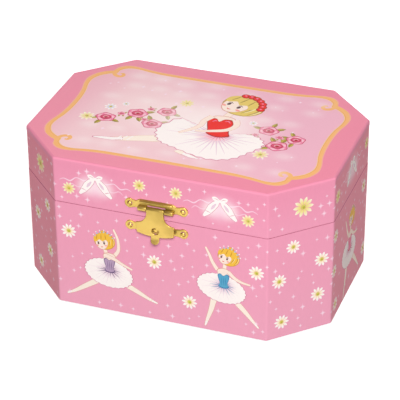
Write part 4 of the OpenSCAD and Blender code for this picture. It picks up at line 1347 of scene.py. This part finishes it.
catch_low, catch_high = size_of("catch_plate")
hasp_low, hasp_high = size_of("hasp")
pin_low, pin_high = size_of("hasp_pin")
HASP_X = (hasp_low.x + hasp_high.x) / 2
HASP_Z = (pin_low.z + pin_high.z) / 2
HASP_Y = (pin_low.y + pin_high.y) / 2
PLATE_BACK = catch_high.y
PLATE_T = 0.7
EAR_X, EAR_R = 15.3, catch_high.x - HASP_X - 15.3
PLATE_EDGE = 0.28
NAIL_HOLE_R = 1.42
TONGUE_HALF = 5
KNUCKLE_R = 1.5
ROLL_LENGTH = 4.9
BEAD_LENGTH, BEAD_RISE = 19.4, 2.2
BELL_HALF, BELL_R, BELL_END = 11, 6, -16.1
LIP_HALF, LIP_R = 2.3, 6
STUD_HOLE_R = 2.1
STUD_HIGH = 1.5


def ear_side(half, up, down):
    """The right half of a plate's outline, from bottom to top: the body, a waist and a round ear."""
    ear = [(EAR_X + EAR_R * c, EAR_R * s) for c, s in map(cos_sin, range(-125, 126, 25))]
    waist = EAR_R * 0.72
    low = [(half - 2.5, -down), (half - 1.0, -down + 0.15), (half + 0.1, -down + 0.7), (half + 1.1, -waist)]
    high = [(half + 1.1, waist), (half + 0.1, up - 0.7), (half - 1.0, up - 0.15), (half - 2.5, up)]
    return smooth(low + ear + high, False, 3)


def both_sides(right):
    return right + [(-x, y) for x, y in right[::-1]]


SLOT_HALF, SLOT_TOP = TONGUE_HALF + 0.25, 0.3
slot_side = [(SLOT_HALF, SLOT_TOP), (SLOT_HALF, -3.0)]
top_ring = both_sides(ear_side(10.6, 3.4, 3.0)) + [(-x, y) for x, y in slot_side[::-1]] + slot_side
ear_z = (catch_low.z + catch_high.z) / 2
nail_low, nail_high = size_of("hasp_plate_nails")
top_z = (nail_low.z + nail_high.z) / 2
nail_holes = [round_points(s * EAR_X, 0, NAIL_HOLE_R, 20) for s in (-1, 1)]
plate = stamped(top_ring, nail_holes, PLATE_T, PLATE_EDGE)
shapes = [put(plate, move(HASP_X, PLATE_BACK, top_z) @ FACING_FRONT)]
for x in (-TONGUE_HALF - 0.25 - ROLL_LENGTH, SLOT_HALF):
    roll = rounded_rod(KNUCKLE_R, ROLL_LENGTH, 0.35)
    shapes.append(put(roll, move(HASP_X + x, HASP_Y, HASP_Z) @ ALONG_X))
bead = rounded_rod(0.95, BEAD_LENGTH, 0.9)
on_plate = move(HASP_X - BEAD_LENGTH / 2, PLATE_BACK - PLATE_T, top_z + BEAD_RISE)
shapes.append(put(bead, on_plate @ ALONG_X))
piece("stamped_hasp_plate", shapes, "gilt", "lid", ["hasp_plate"])

bell = [(TONGUE_HALF - 0.3, 0.2), (TONGUE_HALF, -0.2)]
for k in range(9):
    a = math.radians(90 * k / 8)
    bell.append((BELL_HALF - BELL_R * math.cos(a), -2.1 - BELL_R * math.sin(a)))
for k in range(7):
    x = 10.7 * (1 - k / 7)
    bell.append((x, BELL_END + 1.8 * (x / BELL_HALF) ** 2))
bell_ring = [(0, BELL_END)] + bell[::-1]
bell_ring += [(-x, y) for x, y in bell_ring[::-1] if x > 0.01]
tongue_back = HASP_Y - KNUCKLE_R + PLATE_T


def tongue_bulge(x, y):
    """The tongue is pressed into a shallow bell."""
    return 0.3 * smoothstep(-16, -9, y) * smoothstep(-2.6, -7, y) * (1 - (x / 12) ** 2)


stud_hole = round_points(0, ear_z - HASP_Z, STUD_HOLE_R, 24)
bell = stamped(bell_ring, [stud_hole], PLATE_T, 0.3, tongue_bulge)
knuckle = rounded_rod(KNUCKLE_R, 2 * TONGUE_HALF, 0.2)
shapes = [
    put(bell, move(HASP_X, tongue_back, HASP_Z) @ FACING_FRONT),
    put(knuckle, move(HASP_X - TONGUE_HALF, HASP_Y, HASP_Z) @ ALONG_X),
]
rings = []
for t in (k / 14 for k in range(15)):
    a = math.radians(45) * t
    half = LIP_HALF * math.sqrt(max(0.0, 1 - max(0, (t - 0.55) / 0.47) ** 2)) + 0.12
    thin = 0.33 if t < 0.97 else 0.2
    lip_y = tongue_back - PLATE_T / 2 - LIP_R * (1 - math.cos(a))
    centre = Vector((0, lip_y, HASP_Z - 15.4 - LIP_R * math.sin(a)))
    across, out = Vector((1, 0, 0)), Vector((0, -math.cos(a), -math.sin(a)))
    ring = []
    for b in round_turn(20):
        cx = math.copysign(abs(math.cos(b)) ** 0.35, math.cos(b)) * half
        cy = math.copysign(abs(math.sin(b)) ** 0.6, math.sin(b)) * thin
        ring.append(centre + across * cx + out * cy + Vector((HASP_X, 0, 0)))
    rings.append(ring)
shapes.append(loft(rings))
piece("stamped_hasp", shapes, "gilt", "hasp", ["hasp"])

low_ring = both_sides(ear_side(10.0, 2.9, 2.9))
plate = stamped(low_ring, nail_holes, PLATE_T, PLATE_EDGE)
shapes = [put(plate, move(HASP_X, PLATE_BACK, ear_z) @ FACING_FRONT)]
stud = turned([(1.5, 0), (1.5, 0.9), (1.35, 1.25), (1.0, 1.45), (0.3, STUD_HIGH)], 24)
foot_y = PLATE_BACK - PLATE_T * 0.6
stretch = Matrix.Diagonal((1, 1, (foot_y - catch_low.y) / STUD_HIGH, 1))
shapes.append(put(stud, move(HASP_X, foot_y, ear_z) @ turn("X", 90) @ stretch))
piece("stamped_catch_plate", shapes, "gilt", "case", ["catch_plate"])


# ---- hinges, key and escutcheon

LEAF_T, LEAF_HALF = 0.7, 9
HINGE_KNUCKLE_R = 1.6
STOP_T, STOP_LEAN = 1.2, 100
pins_low, pins_high = size_of("hinge_pins")
axis_y, axis_z = (pins_low.y + pins_high.y) / 2, (pins_low.z + pins_high.z) / 2
for name, body, sign, knuckles in (
    ("hinge_base_leaves", "case", -1, [(-9, 6), (3, 6)]),
    ("hinge_lid_leaves", "lid", 1, [(-2.8, 5.6)]),
):
    low, high = size_of(name)
    near, far = sign * 1.8, (high.z if sign > 0 else low.z) - axis_z
    corner = far - sign * 1.6
    leaf_ring = [(-LEAF_HALF, near), (LEAF_HALF, near), (LEAF_HALF, corner), (7.6, far), (-7.6, far)]
    leaf_ring = (leaf_ring + [(-LEAF_HALF, corner)])[::sign]
    shapes = []
    for side in (-1, 1):
        x = side * (high.x - LEAF_HALF)
        on_board = move(x, low.y, axis_z) @ FACING_BACK
        shapes.append(put(stamped(leaf_ring, [], LEAF_T, 0.2), on_board))
        for start, length in knuckles:
            knuckle = rounded_rod(HINGE_KNUCKLE_R, length, 0.2)
            shapes.append(put(knuckle, move(x + start, axis_y, axis_z) @ ALONG_X))
            end, lower, upper = start + length, 0.1 * sign, 2.2 * sign
            web = [(-start, lower), (-end, lower), (-end, upper), (-start, upper)][::-sign]
            shapes.append(put(stamped(web, [], LEAF_T, 0.1), on_board))
        if sign > 0:
            tab = [(-2.8, -4.6), (2.8, -4.6), (2.8, -1.0), (-2.8, -1.0)]
            stand = move(x, axis_y, axis_z) @ turn("X", STOP_LEAN) @ move(0, -0.85, 0) @ FACING_BACK
            shapes.append(put(stamped(tab, [], STOP_T, 0.15), stand))
    piece("stamped_" + name, shapes, "gilt", body, [name])

key_low, key_high = size_of("winding_key")
KEY_Z = (key_low.z + key_high.z) / 2
hub_r = (key_high.z - key_low.z) / 2
wing_y = key_low.y + 4.8
butterfly = [(6 + 4.8 * c, 4.8 + 4.8 * s) for c, s in map(cos_sin, range(-62, 181, 11))]
butterfly = [(2.2, 0)] + smooth([(x, y) for x, y in butterfly if x > 3.4] + [(2.2, 6.6)], False, 2)
butterfly += [(-x, y) for x, y in butterfly[::-1]]
eyes = [round_points(q * 6.3, 4.8, 2.0, 24) for q in (-1, 1)]
shapes = [put(stamped(butterfly, eyes, 1.4, 0.35), move(0, wing_y, KEY_Z - 0.7))]
hub = [(1.9, 0), (hub_r - 0.3, 0), (hub_r, 0.3), (hub_r, 3.6), (hub_r - 0.4, 4.4), (2.3, 5.2), (1.2, 5.5)]
shapes.append(put(turned(hub), move(0, key_low.y, KEY_Z) @ turn("X", -90)))
piece("butterfly_key", shapes, "gilt", "key", ["winding_key"])

ring = stamped(round_points(0, 0, 6, 48), [round_points(0, 0, 2.9, 32)], 0.8, 0.35)
shapes = [put(ring, move(0, size_of("key_escutcheon")[0].y, KEY_Z) @ FACING_BACK)]
piece("rolled_escutcheon", shapes, "gilt", "case", ["key_escutcheon"])


# ---- mirror, ring rolls and springs

MIRROR_INSET, BEVEL_WIDTH, BEVEL_DEPTH = 16, 3.2, 0.7
glass_low, glass_high = size_of("mirror")
ring = [tuple(c) for c in octagon(glass_high.x, glass_high.y, cut_inside(MIRROR_INSET))]
glass_t = glass_high.z - glass_low.z
plate = stamped(ring, profile=[(0, 0), (0, glass_t - BEVEL_DEPTH), (BEVEL_WIDTH, glass_t)])
plate = put(plate, move(0, 0, glass_high.z) @ turn("X", 180))
piece("bevelled_mirror", [plate], "mirror", "lid", ["mirror"], 1)

roll_low, roll_high = size_of("ring_roll_pads")
ROLLS = 6
ROLL_R = (roll_high.z - roll_low.z) / 2
step = (roll_high.y - roll_low.y - 2 * ROLL_R) / (ROLLS - 1)
half = (roll_high.x - roll_low.x) / 2
roll_z = (roll_high.z + roll_low.z) / 2
SLACK = 0.88  # of the stuffed radius, before the stuffing
END_ROUND = 2.6
GROW = 10  # the cloth solver is used at this many times the real size
WEAVE = 1.15
SEWN_END, SEWN_HALF = 1.3, 0.75
LONGEST_MOVE = 1.1
LAST_FRAME = 20


def slack_roll(y):
    """A ring roll before it is stuffed: slimmer, lying on its tray, with its ends drawn in."""
    z = roll_z - (1 - SLACK) * ROLL_R
    rings = []
    for t in (i / 40 for i in range(41)):
        end = min(t, 1 - t) * 2 * half
        r = SLACK * ROLL_R
        if end < END_ROUND:
            r *= 0.4 + 0.6 * math.sqrt(max(0, 1 - (1 - end / END_ROUND) ** 2))
        x = half * (2 * t - 1) * 0.985
        rings.append([(x, y + q, z + w) for q, w in round_points(0, 0, r, 36)])
    return loft(rings)


def stuff(obj, centres):
    """Fills the rolls with cloth simulation, sewn along their backs and ends."""

    def nearest(y):
        return min(centres, key=lambda c: abs(c - y))

    obj.data.transform(Matrix.Scale(GROW, 4))
    skin = obj.modifiers.new("skin", "REMESH")
    skin.mode = "VOXEL"
    skin.voxel_size = WEAVE * MM * GROW
    mesh = apply_modifiers(obj)
    start = [v.co.copy() for v in mesh.vertices]
    sewn = obj.vertex_groups.new(name="sewn")
    for v in mesh.vertices:
        p = v.co / MM / GROW
        at_seam = p.z < roll_z - 0.8 * ROLL_R and abs(p.y - nearest(v.co.y / MM / GROW)) < SEWN_HALF
        if abs(p.x) > half - SEWN_END or at_seam:
            sewn.add([v.index], 1, "REPLACE")
    cloth = obj.modifiers.new("cloth", "CLOTH")
    cloth.settings.vertex_group_mass = "sewn"
    cloth.settings.use_pressure = True
    cloth.settings.uniform_pressure_force = 0.5
    cloth.settings.tension_stiffness = 80
    cloth.settings.compression_stiffness = 80
    cloth.settings.effector_weights.gravity = 0
    cloth.settings.shrink_min = -0.01
    cloth.settings.bending_stiffness = 0.2
    cloth.collision_settings.use_collision = False
    for frame_number in range(1, LAST_FRAME + 1):
        SCENE.frame_set(frame_number)
    mesh = apply_modifiers(obj)
    obj.vertex_groups.clear()
    SCENE.frame_set(1)
    most = LONGEST_MOVE * MM * GROW
    for v, before in zip(mesh.vertices, start):
        shift = v.co - before
        if shift.length > most:
            v.co = before + shift * (most / shift.length)
    finer = obj.modifiers.new("finer", "SUBSURF")
    finer.levels = finer.render_levels = 1
    mesh = apply_modifiers(obj)
    mesh.transform(Matrix.Scale(1 / GROW, 4))
    for v in mesh.vertices:
        c = nearest(v.co.y / MM)
        y, z = v.co.y / MM - c, v.co.z / MM - roll_z
        keep = min(1, (ROLL_R - 0.02) / max(math.hypot(y, z), 0.01))
        x = max(-half, min(half, v.co.x / MM))
        v.co = Vector((x, c + y * keep, roll_z + z * keep)) * MM
    rounded(mesh)


centres = [roll_low.y + ROLL_R + step * k for k in range(ROLLS)]
rolls = [slack_roll(y) for y in centres]
pads = piece("velvet_ring_rolls", rolls, "velvet", None, ["ring_roll_pads"], 80)
stuff(pads, centres)
pads.data.materials.clear()
pads.data.materials.append(M["velvet"])
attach(pads, "case")


def coil(x, y, r, wire_r, z0, z1, turns):
    """A coil spring with ground, closed ends."""
    path = []
    steps = int(turns * 26)
    for k in range(steps + 1):
        t = k / steps
        rise = smoothstep(0, 1, t) * 0.25 + t * 0.75
        a = 2 * math.pi * turns * t
        path.append((x + r * math.cos(a), y + r * math.sin(a), z0 + wire_r + (z1 - z0 - 2 * wire_r) * rise))
    return wire(path, [wire_r, wire_r], 8)


def wound_spring(name, node, r, wire_r, turns):
    """A spring in the room of its CAD node, with the coils' middle and the node's two corners."""
    low, high = size_of(node)
    x, y = (low.x + high.x) / 2, (low.y + high.y) / 2
    shapes = [coil(x, y, r, wire_r, low.z, high.z, turns)]
    return piece(name, shapes, "spring", None, [node], 80), x, y, low, high


spring, sx, sy, low, high = wound_spring("wound_dancer_spring", "dancer_spring", 2.2, 0.35, 6)
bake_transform(spring)
spring, px, py, low, high = wound_spring("wound_plunger_spring", "plunger_spring", 1.25, 0.22, 8)
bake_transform(spring)


# ---- the dancer

figure_low, figure_high = size_of("dancer_figure")
skirt_low, skirt_high = size_of("dancer_tutu")
TURN_X, TURN_Y = (figure_low.x + figure_high.x) / 2, (skirt_low.y + skirt_high.y) / 2
HIP = skirt_low.z
HAND = figure_high.z
FOOT = figure_low.z + 2.85


def ball(x, y, z, rx, ry, rz, sides=24):
    rings = []
    for a in (math.radians(-84 + 14 * i) for i in range(13)):
        c, s = math.cos(a), math.sin(a)
        rings.append([(x + rx * c * p, y + ry * c * q, z + rz * s) for p, q in round_points(0, 0, 1, sides)])
    return loft(rings)


def figure_shapes():
    """Everything moulded in one with her: base, legs on points, body, neck, head and raised arms."""
    base = [(1.2, figure_low.z - FOOT), (1.2, 0), (2.6, 0.05), (2.7, 0.3), (2.7, 0.9), (2.4, 1.2), (0.6, 1.3)]
    shapes = [turned(base)]
    up = HIP - FOOT
    for s in (-1, 1):
        leg = [
            (s * 0.35, -0.1, 1.0), (s * 0.42, -0.15, 2.6), (s * 0.55, 0, 4.6), (s * 0.72, -0.1, 7),
            (s * 0.95, 0.1, 9.6), (s * 1.0, 0, up + 1),
        ]
        shapes.append(wire(smooth(leg, False, 4), [0.42, 0.62, 0.72, 0.98, 0.86, 1.2, 1.45], 14))
        arm = [
            (s * 1.7, 0, up + 6.0), (s * 4.1, -0.1, up + 10), (s * 5.6, -0.4, up + 14.2),
            (s * 4.4, -0.8, up + 18.4), (s * 2.1, -1.0, HAND - FOOT - 0.6),
        ]
        shapes.append(wire(smooth(arm, False, 5), [0.9, 0.78, 0.66, 0.6, 0.5, 0.42], 12))
        shapes.append(ball(s * 1.8, -1.0, HAND - FOOT - 0.8, 0.62, 0.4, 0.8, 12))
    trunk = [
        (1.9, up - 1), (2.15, up + 0.6), (1.95, up + 1.6), (1.45, up + 3), (1.7, up + 4.2), (2.15, up + 5.4),
        (1.9, up + 6.3), (1.0, up + 7), (0.75, up + 7.6), (0.72, up + 9.2),
    ]
    points, faces = turned(trunk, 28)
    shapes.append(([Vector((p.x, p.y * 0.82, p.z)) for p in points], faces))
    shapes.append(ball(0, 0, up + 11.7, 2.5, 2.7, 3.0))
    shapes.append(ball(0, -2.65, up + 11.4, 0.3, 0.34, 0.36, 10))
    return shapes


def hair_shapes():
    up = HIP - FOOT
    shapes = [ball(0, 0.55, up + 12.2, 2.75, 2.55, 2.85), ball(0, 1.5, up + 14.9, 1.35, 1.3, 1.2)]
    turns = [2 * math.pi * k / 20 for k in range(21)]
    ribbon_path = [(1.5 * math.cos(t), 1.35 + 1.4 * math.sin(t), up + 14.25) for t in turns]
    shapes.append(wire(ribbon_path, [0.28, 0.28], 8))
    return shapes


def moulded(name, shapes, grain, smooth_turns):
    """Joins overlapping shapes into one skin, as a moulding would be, and softens the joins."""
    obj = link(name, joined(name, shapes))
    skin = obj.modifiers.new("skin", "REMESH")
    skin.mode = "VOXEL"
    skin.voxel_size = grain * MM
    soft = obj.modifiers.new("soft", "SMOOTH")
    soft.factor, soft.iterations = 0.5, smooth_turns
    mesh = apply_modifiers(obj)
    mesh.name = name
    rounded(mesh)
    return obj


def tint(obj, ink):
    """Paints a mesh point by point, from each point's place in millimetres."""
    layer = obj.data.color_attributes.new("Ink", "FLOAT_COLOR", "POINT")
    for k, vertex in enumerate(obj.data.vertices):
        layer.data[k].color = (*ink(vertex.co / MM), 1)


def figure_ink(p):
    """Skin, with a rose bodice, pale tights and rose shoes."""
    up = HIP - FOOT
    wide = math.hypot(p.x, p.y)
    if p.z < 1.35:
        return linear("#f6f0f1")
    if p.z < 3.0:
        return linear("#ec86ab")
    if p.z < up + 0.4:
        return linear("#fbe3da")
    if p.z < up + 5.3 + 0.35 * math.cos(2 * math.atan2(p.y, p.x)) and wide < 2.6:
        return linear("#e873a0")
    if p.y < -1.6 and up + 9.6 < p.z < up + 13.2:
        for x in (-0.95, 0.95):
            if math.hypot((p.x - x) / 0.34, (p.z - up - 11.9) / 0.3) < 1:
                return linear("#4a3430")
            if math.hypot((p.x - 1.5 * x) / 0.6, (p.z - up - 10.9) / 0.42) < 1:
                return linear("#f6b7a4")
        if math.hypot(p.x / 0.55, (p.z - up - 10.35) / 0.24) < 1:
            return linear("#d9636b")
    return linear("#f8d8c4")


def hair_ink(p):
    """Brown, with a rose band round the bun."""
    in_band = abs(p.z - (HIP - FOOT) - 14.25) <= 0.45 and p.z >= 14
    return linear("#ec86ab" if in_band else "#7c4a2c")


stand = Vector((TURN_X, TURN_Y, FOOT)) * MM
body = moulded("moulded_dancer", figure_shapes(), 0.16, 6)
tint(body, figure_ink)
hair = moulded("dancer_hair", hair_shapes(), 0.2, 4)
tint(hair, hair_ink)
for obj in (body, hair):
    obj.location = stand
    obj.data.materials.append(M["figure_paint"])
    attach(obj, "dancer")
    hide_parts("dancer_figure")


def net_layer(r, z, drop, waves, swing, phase):
    """One gathered round of net: flat at the waist, rippled at the rim."""
    around, rounds, half_thick = 120, 8, Vector((0, 0, 0.06))
    rows = []
    for t in (i / rounds for i in range(rounds + 1)):
        rho = 2.1 + (r - 2.1) * t
        row = []
        for a in round_turn(around):
            lift = swing * t * t * math.sin(waves * a + phase)
            lift += 0.3 * swing * t * math.sin((waves + 5) * a + 2 * phase)
            q = rho * (1 + 0.012 * t * math.cos(waves * a))
            row.append(Vector((TURN_X + q * math.cos(a), TURN_Y + q * math.sin(a), z - drop * t * t + lift)))
        rows.append(row)
    points = [p + half_thick for row in rows for p in row]
    points += [p - half_thick for row in rows[::-1] for p in row]
    rings = 2 * len(rows)
    return points, [f for i in range(rings) for f in band(i * around, (i + 1) % rings * around, around)]


layers = []
for k in range(3):
    layers.append(net_layer(8.9 - 0.6 * k, HIP + 1.3 - 0.45 * k, 0.25 + 0.04 * k, 17 + 2 * k, 0.2, 1.3 * k))
tutu = piece("net_tutu", layers, "net", "dancer", ["dancer_tutu"], 80)


# ---- the felt under the case

FELT_INSET = 1.5
low, high = size_of("bottom_felt")
size, thick = high - low, high.z - low.z
cut = cut_inside(FELT_INSET)
ring = octagon(size.x / 2, size.y / 2, cut)
soft_edge = [(0.3, 0), (0.08, 0.09), (0, 0.3), (0, thick - 0.3), (0.08, thick - 0.09), (0.3, thick)]
felt = stamped([tuple(p) for p in ring], profile=soft_edge)
felt = put(felt, move(0, (low.y + high.y) / 2, low.z))
felt = piece("cut_felt", [felt], "felt", "case", ["bottom_felt"], 80)
